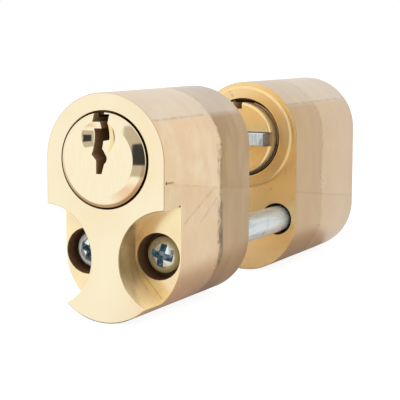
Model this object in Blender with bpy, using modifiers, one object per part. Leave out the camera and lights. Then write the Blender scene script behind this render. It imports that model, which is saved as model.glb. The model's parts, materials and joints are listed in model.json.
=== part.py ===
"""Double oval lock cylinder: two oval brass halves, joined through the lock by screws and posts.

Each half holds a keyed plug with its pins, springs, retaining clip and tail bar.
X runs across the oval, Y through the door with the inside half at -Y, and Z is up.
The origin is the middle of the whole object. Lengths are in metres.
"""
import math

import bmesh
import bpy
from mathutils import Matrix

MM = 0.001
PARTS_NAME = "oval_cylinder"
CUTTERS_NAME = "oval_cylinder_cutters"

# Clearances
RUNNING_GAP = 0.2 * MM
SEAT_GAP = 0.3 * MM
SHEAR_GAP = 0.15 * MM
HEAD_GAP = 0.25 * MM
CLIP_SEAT_GAP = 0.15 * MM
PLUG_IN_CHAMBER_GAP = 0.15 * MM
CUT_MARGIN = 1.0 * MM

# Oval body of each half
BODY_WIDTH = 22.0 * MM
ARC_SPACING = 16.1 * MM
HALF_DEPTH = 34.0 * MM
LOCK_GAP = 23.4 * MM
BOSS_WALL = 2.45 * MM
BOSS_HEIGHT = 1.5 * MM
BOSS_CHAMFER = 0.4 * MM

# Plug
CORE_RADIUS = 7.15 * MM
HEAD_STEP = 0.65 * MM
HEAD_SEAT_DEPTH = 1.6 * MM
HEAD_RIM_PROUD = 0.3 * MM
HEAD_FACE_PROUD = 1.25 * MM
HEAD_CONE_WIDTH = 1.7 * MM
PLUG_REACH = 4.4 * MM
PLUG_END_CHAMFER = 0.4 * MM
DISH_RADIUS = 3.1 * MM
DISH_DEPTH = 1.2 * MM
DISH_RISE = 3.85 * MM

# Keyway, seen from outside: across to the right and up from the plug's axis
KEYWAY_FOOT = -2.4 * MM
KEYWAY_STEM_LEFT = -0.65 * MM
KEYWAY_STEM_RIGHT = 0.38 * MM
KEYWAY_BULGE_ACROSS = 0.24 * MM
KEYWAY_BULGE_RISE = 0.3 * MM
KEYWAY_BULGE_RADIUS = 1.1 * MM
KEYWAY_BULGE_HALF_ANGLE = math.radians(62)
KEYWAY_NOTCH_LEFT = -1.36 * MM
KEYWAY_NOTCH_RISE = 0.95 * MM
KEYWAY_LEFT = -0.95 * MM
KEYWAY_LEFT_RISE = 3.6 * MM
KEYWAY_WAIST_RISE = 2.3 * MM
KEYWAY_WAIST_RIGHT = 0.68 * MM
KEYWAY_SHOULDER_RISE = 3.1 * MM
KEYWAY_WIDE_RIGHT = 2.0 * MM
WARD_LOW = 5.0 * MM
WARD_HIGH = 5.87 * MM
WARD_TIP = 0.43 * MM
KEYWAY_LIP_INSET = 0.54 * MM
KEYWAY_MOUTH_RIGHT = 0.92 * MM

# Retaining clip in its groove
CLIP_PROUD = 0.45 * MM
CLIP_GROOVE_DEPTH = 0.85 * MM
CLIP_THICKNESS = 1.0 * MM
CLIP_GAP_START = math.radians(-12)
CLIP_GAP_END = math.radians(104)

# Tail bar and its pin
BAR_INSET = 0.75 * MM
BAR_THICKNESS = 2.4 * MM
BAR_PROUD = 2.0 * MM
BAR_SLOT_DEPTH = 1.5 * MM
TANG_WIDTH = 4.6 * MM
TANG_LENGTH = 8.5 * MM
TAIL_PIN_RADIUS = 0.75 * MM
TAIL_PIN_FROM_TANG_END = 2.1 * MM
TAIL_PIN_PAST_BAR = 1.0 * MM
TAIL_PIN_INSET = 0.15 * MM

# Pin stacks
STACK_COUNT = 5
FIRST_STACK = 6.5 * MM
STACK_PITCH = 4.0 * MM
PIN_RADIUS = 1.5 * MM
PIN_EDGE = 0.15 * MM
SHORTEST_KEY_PIN = 4.7 * MM
CUT_STEP = 0.3 * MM
CUT_CODE = (1, 3, 0, 4, 2)
KEY_PIN_TIP_RADIUS = 0.5 * MM
KEY_PIN_CONE = 0.9 * MM
KEY_PIN_LIFT = 1.0 * MM
DRIVER_LENGTH = 6.0 * MM
SPRING_WIRE_RADIUS = 0.22 * MM
SPRING_TURNS = 4
CHAMBER_PLUG_LENGTH = 4.0 * MM

# Screws, their recesses, and the posts they pull on
SCREW_HEAD_RADIUS = 3.1 * MM
SCREW_HEAD_EDGE = 1.8 * MM
SCREW_DOME_HEIGHT = 0.5 * MM
SCREW_DOME_INSET = 0.7 * MM
SHANK_RADIUS = 1.6 * MM
SHANK_LENGTH = 17.0 * MM
SHANK_TIP = 0.5 * MM
CROSS_INSET = 0.5 * MM
CROSS_WIDTH = 1.15 * MM
CROSS_DEPTH = 1.3 * MM
CROSS_TURNS = {"right": math.radians(-13), "left": math.radians(-20)}
COUNTERBORE_CLEARANCE = 0.8 * MM
COUNTERBORE_WALL = 0.3 * MM
COUNTERBORE_DEPTH = 3.5 * MM
SCREW_BELOW_ARC = 0.2 * MM
SCREW_WEB = 2.7 * MM
RECESS_RADIUS = 8.7 * MM
RECESS_PAST_SIDE = 0.3 * MM
RECESS_BELOW_ARC = 0.35 * MM
RECESS_DEPTH = 6.0 * MM
POST_RADIUS = 2.6 * MM
POST_EDGE = 0.3 * MM
POST_BORE_SPARE = 6.0 * MM
POST_SOCKET_DEPTH = 12.0 * MM
POST_MOUTH_CLEARANCE = 0.5 * MM
POST_MOUTH_DEPTH = 1.5 * MM

# Facets
BODY_ARC_STEPS = 20
BULGE_STEPS = 6
LARGE_SIDES = 40
MEDIUM_SIDES = 20
SMALL_SIDES = 12
SPRING_SIDES_A_TURN = 6
WIRE_RESOLUTION = 2
DISH_STEPS = 6
MERGE_DISTANCE = 0.01 * MM
SHARP_ANGLE = math.radians(30)
FLAT_ANGLE = math.radians(0.5)

# Finishes: colour, roughness and metallic value
SATIN_BRASS = ((0.82, 0.62, 0.36), 0.28, 1.0)
POLISHED_BRASS = ((0.92, 0.76, 0.48), 0.1, 1.0)
DARK_STEEL = ((0.16, 0.14, 0.13), 0.35, 1.0)
BRIGHT_STEEL = ((0.62, 0.64, 0.66), 0.3, 1.0)
ZINC_PLATE = ((0.72, 0.77, 0.78), 0.3, 1.0)
NICKEL_SILVER = ((0.70, 0.68, 0.60), 0.25, 1.0)

# Radii and heights that follow, heights from the plug's axis
BODY_RADIUS = BODY_WIDTH / 2
BODY_FOOT = -(ARC_SPACING + BODY_RADIUS)
BORE_RADIUS = CORE_RADIUS + RUNNING_GAP
HEAD_RADIUS = CORE_RADIUS + HEAD_STEP
CLIP_OUTER_RADIUS = CORE_RADIUS + CLIP_PROUD
GROOVE_RADIUS = CORE_RADIUS - CLIP_GROOVE_DEPTH
CLIP_SEAT_RADIUS = CLIP_OUTER_RADIUS + CLIP_SEAT_GAP
BOSS_RADIUS = CLIP_SEAT_RADIUS + BOSS_WALL
CHAMBER_RADIUS = PIN_RADIUS + RUNNING_GAP
SPRING_COIL_RADIUS = PIN_RADIUS - SPRING_WIRE_RADIUS
SCREW_HOLE_RADIUS = SHANK_RADIUS + SEAT_GAP
POST_HOLE_RADIUS = POST_RADIUS + SEAT_GAP
TAIL_PIN_HOLE_RADIUS = TAIL_PIN_RADIUS + RUNNING_GAP
SCREW_DOME_RADIUS = SCREW_HEAD_RADIUS - SCREW_DOME_INSET
COUNTERBORE_RADIUS = SCREW_HEAD_RADIUS + COUNTERBORE_CLEARANCE
KEY_PIN_FOOT = -(CORE_RADIUS - SHEAR_GAP)
DRIVER_TOP = -(CORE_RADIUS + SHEAR_GAP)
DRIVER_FOOT = DRIVER_TOP - DRIVER_LENGTH
TALLEST_TIP = KEY_PIN_FOOT + SHORTEST_KEY_PIN + max(CUT_CODE) * CUT_STEP
CHAMBER_TOP = TALLEST_TIP + KEY_PIN_LIFT + SEAT_GAP
CHAMBER_PLUG_TOP = BODY_FOOT + CHAMBER_PLUG_LENGTH
TAIL_PIN_TOP = BAR_THICKNESS / 2 + TAIL_PIN_PAST_BAR
TAIL_PIN_FOOT = -(CORE_RADIUS - TAIL_PIN_INSET)

# Places that follow: depths from a half's outer face towards the lock
BOSS_TOP = HALF_DEPTH + BOSS_HEIGHT
PLUG_END = HALF_DEPTH + PLUG_REACH
CLIP_FAR = BOSS_TOP - RUNNING_GAP
CLIP_NEAR = CLIP_FAR - CLIP_THICKNESS
SLOT_FLOOR = PLUG_END - BAR_SLOT_DEPTH
BAR_SHOULDER = SLOT_FLOOR + SEAT_GAP
TANG_FOOT = BAR_SHOULDER - TANG_LENGTH
TAIL_PIN_PLACE = TANG_FOOT + TAIL_PIN_FROM_TANG_END
SCREW_SEAT = RECESS_DEPTH + COUNTERBORE_DEPTH
SCREW_UNDERSIDE = SCREW_SEAT - SEAT_GAP
SCREW_TIP = SCREW_UNDERSIDE + SHANK_LENGTH
POST_STOP = SCREW_SEAT + SCREW_WEB

# Places that follow in the whole object
OUTER_FACE_Y = LOCK_GAP / 2 + HALF_DEPTH
PLUG_AXIS_Z = ARC_SPACING / 2
SCREW_Z = -ARC_SPACING / 2 - SCREW_BELOW_ARC
SCREW_X = BODY_RADIUS - COUNTERBORE_RADIUS - COUNTERBORE_WALL
RECESS_Z = -ARC_SPACING / 2 - RECESS_BELOW_ARC
RECESS_X = BODY_RADIUS + RECESS_PAST_SIDE
SIDES = {"right": 1, "left": -1}

UPRIGHT = Matrix.Identity(4)
ALONG_Y = Matrix.Rotation(-math.pi / 2, 4, "X")
FACING_Y = Matrix.Rotation(math.pi / 2, 4, "X")


def clear_scene():
    """Remove whatever the scene holds."""
    for item in list(bpy.data.objects):
        bpy.data.objects.remove(item, do_unlink=True)


def make_collection(name):
    """A collection of that name, linked to the scene."""
    collection = bpy.data.collections.new(name)
    bpy.context.scene.collection.children.link(collection)
    return collection


def add_object(name, data, frame, location=(0, 0, 0)):
    """Put an object in the parts collection, placed in a half's own frame."""
    item = bpy.data.objects.new(name, data)
    bpy.data.collections[PARTS_NAME].objects.link(item)
    item.parent = frame
    item.location = location
    return item


def as_cutter(item):
    """Move an object to the cutters, shown as wires and never rendered."""
    bpy.data.collections[PARTS_NAME].objects.unlink(item)
    bpy.data.collections[CUTTERS_NAME].objects.link(item)
    item.hide_render = True
    item.display_type = "WIRE"
    return item


def paint(item, finish):
    """Give an object a plain Principled material of its own."""
    colour, roughness, metallic = finish
    material = bpy.data.materials.new(item.name + "_finish")
    material.use_nodes = True
    shader = material.node_tree.nodes["Principled BSDF"]
    shader.inputs["Base Color"].default_value = (*colour, 1.0)
    shader.inputs["Roughness"].default_value = roughness
    shader.inputs["Metallic"].default_value = metallic
    item.data.materials.append(material)
    return item


def rod(name, radius, start, end, sides, turn, frame, location=(0, 0, 0)):
    """A cylinder from start to end along the axis that the turn gives."""
    mesh = bpy.data.meshes.new(name)
    shape = bmesh.new()
    middle = Matrix.Translation((0, 0, (start + end) / 2)) @ Matrix.Rotation(math.pi / sides, 4, "Z")
    bmesh.ops.create_cone(shape, cap_ends=True, segments=sides, radius1=radius, radius2=radius,
                          depth=end - start, matrix=turn @ middle)
    shape.to_mesh(mesh)
    shape.free()
    return add_object(name, mesh, frame, location)


def block(name, size, centre, frame, location=(0, 0, 0)):
    """A box of that size about a centre."""
    mesh = bpy.data.meshes.new(name)
    shape = bmesh.new()
    bmesh.ops.create_cube(shape, size=1.0, matrix=Matrix.Translation(centre) @ Matrix.Diagonal((*size, 1.0)))
    shape.to_mesh(mesh)
    shape.free()
    return add_object(name, mesh, frame, location)


def turned(name, profile, sides, turn, frame, location=(0, 0, 0)):
    """A turned piece: (radius, height) points, from the top of the axis down the outside."""
    mesh = bpy.data.meshes.new(name)
    points = [(radius, 0.0, height) for radius, height in profile]
    edges = [(i, i + 1) for i in range(len(points) - 1)]
    mesh.from_pydata(points, edges, [])
    item = add_object(name, mesh, frame, location)
    item.rotation_euler = turn.to_euler()
    screw = item.modifiers.new("turn", "SCREW")
    screw.steps = sides
    screw.render_steps = sides
    screw.use_merge_vertices = True
    screw.merge_threshold = MERGE_DISTANCE
    return item


def plate(name, outline, thickness, turn, frame, location=(0, 0, 0)):
    """A flat piece: an outline filled, given its thickness and made a closed mesh."""
    curve = bpy.data.curves.new(name + "_outline", "CURVE")
    curve.dimensions = "2D"
    curve.fill_mode = "BOTH"
    curve.extrude = thickness / 2
    spline = curve.splines.new("POLY")
    spline.points.add(len(outline) - 1)
    for point, (across, up) in zip(spline.points, outline):
        point.co = (across, up, 0.0, 1.0)
    spline.use_cyclic_u = True
    guide = add_object(name + "_outline", curve, None)
    bpy.context.view_layer.update()
    depsgraph = bpy.context.evaluated_depsgraph_get()
    mesh = bpy.data.meshes.new_from_object(guide.evaluated_get(depsgraph))
    bpy.data.objects.remove(guide)
    shape = bmesh.new()
    shape.from_mesh(mesh)
    bmesh.ops.remove_doubles(shape, verts=shape.verts, dist=MERGE_DISTANCE)
    bmesh.ops.dissolve_degenerate(shape, edges=shape.edges, dist=MERGE_DISTANCE)
    bmesh.ops.dissolve_limit(shape, angle_limit=FLAT_ANGLE, verts=shape.verts, edges=shape.edges)
    bmesh.ops.recalc_face_normals(shape, faces=shape.faces)
    shape.transform(turn)
    shape.to_mesh(mesh)
    shape.free()
    mesh.name = name
    return add_object(name, mesh, frame, location)


def combine(item, tool, operation="DIFFERENCE"):
    """Cut, join or trim an object with a tool that stays among the cutters."""
    if tool.name not in bpy.data.collections[CUTTERS_NAME].objects:
        as_cutter(tool)
    modifier = item.modifiers.new(tool.name, "BOOLEAN")
    modifier.object = tool
    modifier.operation = operation
    return item


def arc(radius, start, end, steps, centre=(0.0, 0.0)):
    """Points on an arc, both ends included."""
    angles = [start + (end - start) * i / steps for i in range(steps + 1)]
    return [(centre[0] + radius * math.cos(a), centre[1] + radius * math.sin(a)) for a in angles]


def body_outline():
    """The oval: two half circles joined by straight sides."""
    upper = arc(BODY_RADIUS, 0.0, math.pi, BODY_ARC_STEPS, (0.0, ARC_SPACING / 2))
    lower = arc(BODY_RADIUS, math.pi, 2 * math.pi, BODY_ARC_STEPS, (0.0, -ARC_SPACING / 2))
    return upper + lower


def keyway_outline():
    """The keyway: a stem with a bulge, a waist, a wide warded top and a mouth open at the rim."""
    above = HEAD_RADIUS + CUT_MARGIN
    lip = HEAD_RADIUS - KEYWAY_LIP_INSET
    bulge = arc(KEYWAY_BULGE_RADIUS, -KEYWAY_BULGE_HALF_ANGLE, KEYWAY_BULGE_HALF_ANGLE, BULGE_STEPS,
                (KEYWAY_BULGE_ACROSS, KEYWAY_BULGE_RISE))
    right = [(KEYWAY_STEM_RIGHT, KEYWAY_FOOT), *bulge, (KEYWAY_WAIST_RIGHT, KEYWAY_WAIST_RISE),
             (KEYWAY_WIDE_RIGHT, KEYWAY_SHOULDER_RISE), (KEYWAY_WIDE_RIGHT, lip),
             (KEYWAY_MOUTH_RIGHT, lip), (KEYWAY_MOUTH_RIGHT, above)]
    left = [(KEYWAY_LEFT, above), (KEYWAY_LEFT, WARD_HIGH), (WARD_TIP, WARD_HIGH),
            (WARD_TIP, WARD_LOW), (KEYWAY_LEFT, WARD_LOW), (KEYWAY_LEFT, KEYWAY_LEFT_RISE),
            (KEYWAY_NOTCH_LEFT, KEYWAY_NOTCH_RISE), (KEYWAY_STEM_LEFT, 0.0), (KEYWAY_STEM_LEFT, KEYWAY_FOOT)]
    return right + left


def stack_places():
    """How far each pin stack lies behind the half's outer face."""
    return [FIRST_STACK + i * STACK_PITCH for i in range(STACK_COUNT)]


def half_body(prefix, frame):
    """The oval body with its boss, plug bore, clip seat and pin chambers."""
    body = plate(prefix + "body", body_outline(), HALF_DEPTH, FACING_Y, frame, (0, HALF_DEPTH / 2, 0))
    axis = (0, 0, PLUG_AXIS_Z)
    boss_foot = HALF_DEPTH - CUT_MARGIN
    boss_profile = [(0, BOSS_TOP), (BOSS_RADIUS - BOSS_CHAMFER, BOSS_TOP),
                    (BOSS_RADIUS, BOSS_TOP - BOSS_CHAMFER), (BOSS_RADIUS, boss_foot), (0, boss_foot)]
    combine(body, turned(prefix + "boss_guide", boss_profile, LARGE_SIDES, ALONG_Y, frame, axis), "UNION")
    bores = {
        "plug_bore": (BORE_RADIUS, -CUT_MARGIN, BOSS_TOP + CUT_MARGIN),
        "head_seat": (HEAD_RADIUS + HEAD_GAP, -CUT_MARGIN, HEAD_SEAT_DEPTH),
        "clip_seat": (CLIP_SEAT_RADIUS, CLIP_NEAR - RUNNING_GAP, BOSS_TOP + CUT_MARGIN),
    }
    for name, (radius, start, end) in bores.items():
        combine(body, rod(prefix + name, radius, start, end, LARGE_SIDES, ALONG_Y, frame, axis))
    for number, place in enumerate(stack_places(), 1):
        chamber = rod(f"{prefix}chamber_{number}", CHAMBER_RADIUS, BODY_FOOT - CUT_MARGIN, 0.0,
                      SMALL_SIDES, UPRIGHT, frame, (0, place, PLUG_AXIS_Z))
        combine(body, chamber)
    return paint(body, SATIN_BRASS)


def screw_side_bores(body, frame):
    """In the inside half: the round side recesses, counterbores, screw holes and post holes."""
    for name, side in SIDES.items():
        recess = rod("recess_" + name, RECESS_RADIUS, -CUT_MARGIN, RECESS_DEPTH, LARGE_SIDES, ALONG_Y,
                     frame, (side * RECESS_X, 0, RECESS_Z))
        combine(body, recess)
        bores = {
            "counterbore_": (COUNTERBORE_RADIUS, RECESS_DEPTH - CUT_MARGIN, SCREW_SEAT),
            "screw_hole_": (SCREW_HOLE_RADIUS, SCREW_SEAT - CUT_MARGIN, POST_STOP + CUT_MARGIN),
            "post_hole_": (POST_HOLE_RADIUS, POST_STOP, BOSS_TOP + CUT_MARGIN),
        }
        for bore, (radius, start, end) in bores.items():
            combine(body, rod(bore + name, radius, start, end, MEDIUM_SIDES, ALONG_Y,
                              frame, (side * SCREW_X, 0, SCREW_Z)))


def post_side_bores(body, frame):
    """In the outside half: blind sockets for the posts, with a wider mouth."""
    for name, side in SIDES.items():
        bores = {
            "post_socket_": (POST_HOLE_RADIUS, HALF_DEPTH - POST_SOCKET_DEPTH),
            "post_mouth_": (POST_RADIUS + POST_MOUTH_CLEARANCE, HALF_DEPTH - POST_MOUTH_DEPTH),
        }
        for bore, (radius, start) in bores.items():
            combine(body, rod(bore + name, radius, start, BOSS_TOP + CUT_MARGIN, MEDIUM_SIDES, ALONG_Y,
                              frame, (side * SCREW_X, 0, SCREW_Z)))


def dish_profile():
    """The cutter of the shallow dish in the plug's face: a cap of a large ball."""
    ball = (DISH_RADIUS ** 2 + DISH_DEPTH ** 2) / (2 * DISH_DEPTH)
    spread = math.asin(DISH_RADIUS / ball)
    angles = [spread * step / DISH_STEPS for step in range(DISH_STEPS + 1)]
    centre = -HEAD_FACE_PROUD - ball * math.cos(spread)
    cap = [(ball * math.sin(angle), centre + ball * math.cos(angle)) for angle in angles]
    brim = -HEAD_FACE_PROUD - CUT_MARGIN
    return cap + [(DISH_RADIUS, brim), (0.0, brim)]


def plug_profile():
    """The plug's outline from the tail end to the face: (radius, depth) points."""
    head_back = HEAD_SEAT_DEPTH - SEAT_GAP
    groove_far = CLIP_FAR + RUNNING_GAP
    groove_near = CLIP_NEAR - RUNNING_GAP
    tail = [(0, PLUG_END), (CORE_RADIUS - PLUG_END_CHAMFER, PLUG_END),
            (CORE_RADIUS, PLUG_END - PLUG_END_CHAMFER)]
    groove = [(CORE_RADIUS, groove_far), (GROOVE_RADIUS, groove_far),
              (GROOVE_RADIUS, groove_near), (CORE_RADIUS, groove_near)]
    head = [(CORE_RADIUS, head_back), (HEAD_RADIUS, head_back), (HEAD_RADIUS, -HEAD_RIM_PROUD),
            (HEAD_RADIUS - HEAD_CONE_WIDTH, -HEAD_FACE_PROUD), (0, -HEAD_FACE_PROUD)]
    return tail + groove + head


def plug(prefix, frame):
    """The plug: head, core, clip groove and tail, cut for the key, the pins and the tail bar."""
    axis = (0, 0, PLUG_AXIS_Z)
    item = turned(prefix + "plug", plug_profile(), LARGE_SIDES, ALONG_Y, frame, axis)
    keyway_length = PLUG_END + HEAD_FACE_PROUD + 2 * CUT_MARGIN
    keyway_middle = (PLUG_END - HEAD_FACE_PROUD) / 2
    keyway = plate(prefix + "keyway", keyway_outline(), keyway_length, FACING_Y, frame,
                   (0, keyway_middle, PLUG_AXIS_Z))
    combine(item, keyway)
    dish = turned(prefix + "key_dish", dish_profile(), MEDIUM_SIDES, ALONG_Y, frame,
                  (0, 0, PLUG_AXIS_Z + DISH_RISE))
    combine(item, dish)
    for number, place in enumerate(stack_places(), 1):
        chamber = rod(f"{prefix}plug_chamber_{number}", CHAMBER_RADIUS, -HEAD_RADIUS, CHAMBER_TOP,
                      SMALL_SIDES, UPRIGHT, frame, (0, place, PLUG_AXIS_Z))
        combine(item, chamber)
    for tool in tail_cutters(prefix, frame):
        combine(item, tool)
    return paint(item, POLISHED_BRASS)


def tail_cutters(prefix, frame):
    """What the plug's tail end loses: the bar's slot, the tang's pocket and the tail pin's hole."""
    axis = (0, 0, PLUG_AXIS_Z)
    slot_height = BAR_THICKNESS + 2 * RUNNING_GAP
    slot_top = PLUG_END + CUT_MARGIN
    slot = block(prefix + "bar_slot", (2 * HEAD_RADIUS, slot_top - SLOT_FLOOR, slot_height),
                 (0, (slot_top + SLOT_FLOOR) / 2, 0), frame, axis)
    pocket_foot = TANG_FOOT - SEAT_GAP
    pocket = block(prefix + "tang_pocket",
                   (TANG_WIDTH + 2 * RUNNING_GAP, slot_top - pocket_foot, slot_height),
                   (0, (slot_top + pocket_foot) / 2, 0), frame, axis)
    hole = rod(prefix + "tail_pin_hole", TAIL_PIN_HOLE_RADIUS, -HEAD_RADIUS, TAIL_PIN_TOP + RUNNING_GAP,
               SMALL_SIDES, UPRIGHT, frame, (0, TAIL_PIN_PLACE, PLUG_AXIS_Z))
    return slot, pocket, hole


def retaining_clip(prefix, frame):
    """The open ring that holds the plug at the lock end, its outline as seen from the lock."""
    last = CLIP_GAP_START + 2 * math.pi
    outer = arc(CLIP_OUTER_RADIUS, CLIP_GAP_END, last, MEDIUM_SIDES)
    inner = arc(GROOVE_RADIUS + RUNNING_GAP, last, CLIP_GAP_END, MEDIUM_SIDES)
    seen_from_lock = [(-across, up) for across, up in outer + inner]
    clip = plate(prefix + "retaining_clip", seen_from_lock, CLIP_THICKNESS, FACING_Y, frame,
                 (0, (CLIP_NEAR + CLIP_FAR) / 2, PLUG_AXIS_Z))
    return paint(clip, DARK_STEEL)


def tail_bar(prefix, frame):
    """The flat bar across the plug's end, with a tang that reaches into the plug."""
    axis = (0, 0, PLUG_AXIS_Z)
    bar_top = PLUG_END + BAR_PROUD
    bar_middle = (bar_top + BAR_SHOULDER) / 2
    bar_size = (2 * (CORE_RADIUS - BAR_INSET), bar_top - BAR_SHOULDER, BAR_THICKNESS)
    bar = block(prefix + "tail_bar", bar_size, (0, bar_middle, 0), frame, axis)
    tang = block(prefix + "tang_guide", (TANG_WIDTH, bar_middle - TANG_FOOT, BAR_THICKNESS),
                 (0, (bar_middle + TANG_FOOT) / 2, 0), frame, axis)
    combine(bar, tang, "UNION")
    hole = rod(prefix + "tang_hole", TAIL_PIN_HOLE_RADIUS, -BAR_THICKNESS, BAR_THICKNESS,
               SMALL_SIDES, UPRIGHT, frame, (0, TAIL_PIN_PLACE, PLUG_AXIS_Z))
    combine(bar, hole)
    return paint(bar, BRIGHT_STEEL)


def tail_pin(prefix, frame):
    """The small pin that keeps the tail bar's tang in the plug."""
    pin = rod(prefix + "tail_pin", TAIL_PIN_RADIUS, TAIL_PIN_FOOT, TAIL_PIN_TOP, SMALL_SIDES, UPRIGHT,
              frame, (0, TAIL_PIN_PLACE, PLUG_AXIS_Z))
    return paint(pin, BRIGHT_STEEL)


def key_pin(prefix, frame, number, place, cut):
    """A pointed pin in the plug, its foot at the shear line."""
    tip = KEY_PIN_FOOT + SHORTEST_KEY_PIN + cut * CUT_STEP
    profile = [(0, tip), (KEY_PIN_TIP_RADIUS, tip), (PIN_RADIUS, tip - KEY_PIN_CONE),
               (PIN_RADIUS, KEY_PIN_FOOT + PIN_EDGE), (PIN_RADIUS - PIN_EDGE, KEY_PIN_FOOT),
               (0, KEY_PIN_FOOT)]
    pin = turned(f"{prefix}key_pin_{number}", profile, SMALL_SIDES, UPRIGHT, frame,
                 (0, place, PLUG_AXIS_Z))
    return paint(pin, NICKEL_SILVER)


def driver_pin(prefix, frame, number, place):
    """The plain pin below the shear line, pushed up by its spring."""
    profile = [(0, DRIVER_TOP), (PIN_RADIUS - PIN_EDGE, DRIVER_TOP),
               (PIN_RADIUS, DRIVER_TOP - PIN_EDGE), (PIN_RADIUS, DRIVER_FOOT), (0, DRIVER_FOOT)]
    pin = turned(f"{prefix}driver_pin_{number}", profile, SMALL_SIDES, UPRIGHT, frame,
                 (0, place, PLUG_AXIS_Z))
    return paint(pin, NICKEL_SILVER)


def spring(prefix, frame, number, place):
    """A coil of wire between the driver pin and the chamber plug."""
    low = CHAMBER_PLUG_TOP + SEAT_GAP + SPRING_WIRE_RADIUS
    high = DRIVER_FOOT - SEAT_GAP - SPRING_WIRE_RADIUS
    curve = bpy.data.curves.new(f"{prefix}spring_{number}", "CURVE")
    curve.dimensions = "3D"
    curve.bevel_depth = SPRING_WIRE_RADIUS
    curve.bevel_resolution = WIRE_RESOLUTION
    curve.use_fill_caps = True
    wire = curve.splines.new("POLY")
    steps = SPRING_TURNS * SPRING_SIDES_A_TURN
    wire.points.add(steps)
    for step, point in enumerate(wire.points):
        angle = 2 * math.pi * step / SPRING_SIDES_A_TURN
        height = low + (high - low) * step / steps
        point.co = (SPRING_COIL_RADIUS * math.cos(angle), SPRING_COIL_RADIUS * math.sin(angle), height, 1.0)
    item = add_object(f"{prefix}spring_{number}", curve, frame, (0, place, PLUG_AXIS_Z))
    return paint(item, BRIGHT_STEEL)


def chamber_plug(prefix, frame, number, place, outline_guide):
    """The brass plug that closes a chamber, filed to the body's round foot."""
    item = rod(f"{prefix}chamber_plug_{number}", CHAMBER_RADIUS - PLUG_IN_CHAMBER_GAP,
               BODY_FOOT - CUT_MARGIN, CHAMBER_PLUG_TOP, SMALL_SIDES, UPRIGHT, frame,
               (0, place, PLUG_AXIS_Z))
    combine(item, outline_guide, "INTERSECT")
    return paint(item, SATIN_BRASS)


def pin_stacks(prefix, frame):
    """Every stack: key pin, driver pin, spring and chamber plug."""
    outline_guide = plate(prefix + "outline_guide", body_outline(), HALF_DEPTH, FACING_Y, frame,
                          (0, HALF_DEPTH / 2, 0))
    for number, (place, cut) in enumerate(zip(stack_places(), CUT_CODE), 1):
        key_pin(prefix, frame, number, place, cut)
        driver_pin(prefix, frame, number, place)
        spring(prefix, frame, number, place)
        chamber_plug(prefix, frame, number, place, outline_guide)


def cross_outline(turn):
    """The cross recess of a screw, as a twelve-cornered outline turned about its middle."""
    arm = SCREW_DOME_RADIUS - CROSS_INSET
    half = CROSS_WIDTH / 2
    outline = []
    for quarter in range(4):
        angle = turn + quarter * math.pi / 2
        for across, up in ((arm, half), (half, half), (half, arm)):
            outline.append((across * math.cos(angle) - up * math.sin(angle),
                            across * math.sin(angle) + up * math.cos(angle)))
    return outline


def connecting_screw(name, frame, side, turn):
    """A pan-head cross-recessed machine screw, seated in its counterbore."""
    edge = SCREW_UNDERSIDE - SCREW_HEAD_EDGE
    top = edge - SCREW_DOME_HEIGHT
    profile = [(0, SCREW_TIP), (SHANK_RADIUS - SHANK_TIP, SCREW_TIP), (SHANK_RADIUS, SCREW_TIP - SHANK_TIP),
               (SHANK_RADIUS, SCREW_UNDERSIDE), (SCREW_HEAD_RADIUS, SCREW_UNDERSIDE),
               (SCREW_HEAD_RADIUS, edge), (SCREW_DOME_RADIUS, top), (0, top)]
    place = (side * SCREW_X, 0, SCREW_Z)
    screw = turned(name, profile, MEDIUM_SIDES, ALONG_Y, frame, place)
    cross = plate(name + "_cross", cross_outline(turn), CROSS_DEPTH + CUT_MARGIN, FACING_Y, frame,
                  (place[0], top + (CROSS_DEPTH - CUT_MARGIN) / 2, place[2]))
    combine(screw, cross)
    return paint(screw, ZINC_PLATE)


def connecting_post(name, frame, side):
    """A smooth post between the halves, bored and tapped for the screw."""
    near = POST_STOP + SEAT_GAP
    far = HALF_DEPTH + LOCK_GAP + POST_SOCKET_DEPTH - SEAT_GAP
    bore_end = SCREW_TIP + POST_BORE_SPARE
    profile = [(0, far), (POST_RADIUS - POST_EDGE, far), (POST_RADIUS, far - POST_EDGE),
               (POST_RADIUS, near + POST_EDGE), (POST_RADIUS - POST_EDGE, near),
               (SCREW_HOLE_RADIUS, near), (SCREW_HOLE_RADIUS, bore_end), (0, bore_end)]
    post = turned(name, profile, MEDIUM_SIDES, ALONG_Y, frame, (side * SCREW_X, 0, SCREW_Z))
    return paint(post, ZINC_PLATE)


def settle(item, depsgraph):
    """A mesh with the cuts and turns applied, and the round faces shaded smooth."""
    mesh = bpy.data.meshes.new_from_object(item.evaluated_get(depsgraph), depsgraph=depsgraph)
    mesh.shade_smooth()
    mesh.set_sharp_from_angle(angle=SHARP_ANGLE)
    return mesh


def settle_all():
    """Settle every meshed part, all of them from the same evaluated scene."""
    bpy.context.view_layer.update()
    depsgraph = bpy.context.evaluated_depsgraph_get()
    parts = [item for item in bpy.data.collections[PARTS_NAME].objects if item.type == "MESH"]
    meshes = [settle(item, depsgraph) for item in parts]
    for item, mesh in zip(parts, meshes):
        item.modifiers.clear()
        item.data = mesh


def half_frame(name, side, angle):
    """An empty in the middle of a half's outer face, its +Y running into the lock."""
    frame = bpy.data.objects.new(name, None)
    bpy.data.collections[PARTS_NAME].objects.link(frame)
    frame.location = (0, side * OUTER_FACE_Y, 0)
    frame.rotation_euler = (0, 0, angle)
    return frame


def build_half(prefix, frame, add_bores):
    """One half, with the bores that its screws or posts need."""
    add_bores(half_body(prefix, frame), frame)
    plug(prefix, frame)
    retaining_clip(prefix, frame)
    tail_bar(prefix, frame)
    tail_pin(prefix, frame)
    pin_stacks(prefix, frame)


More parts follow.
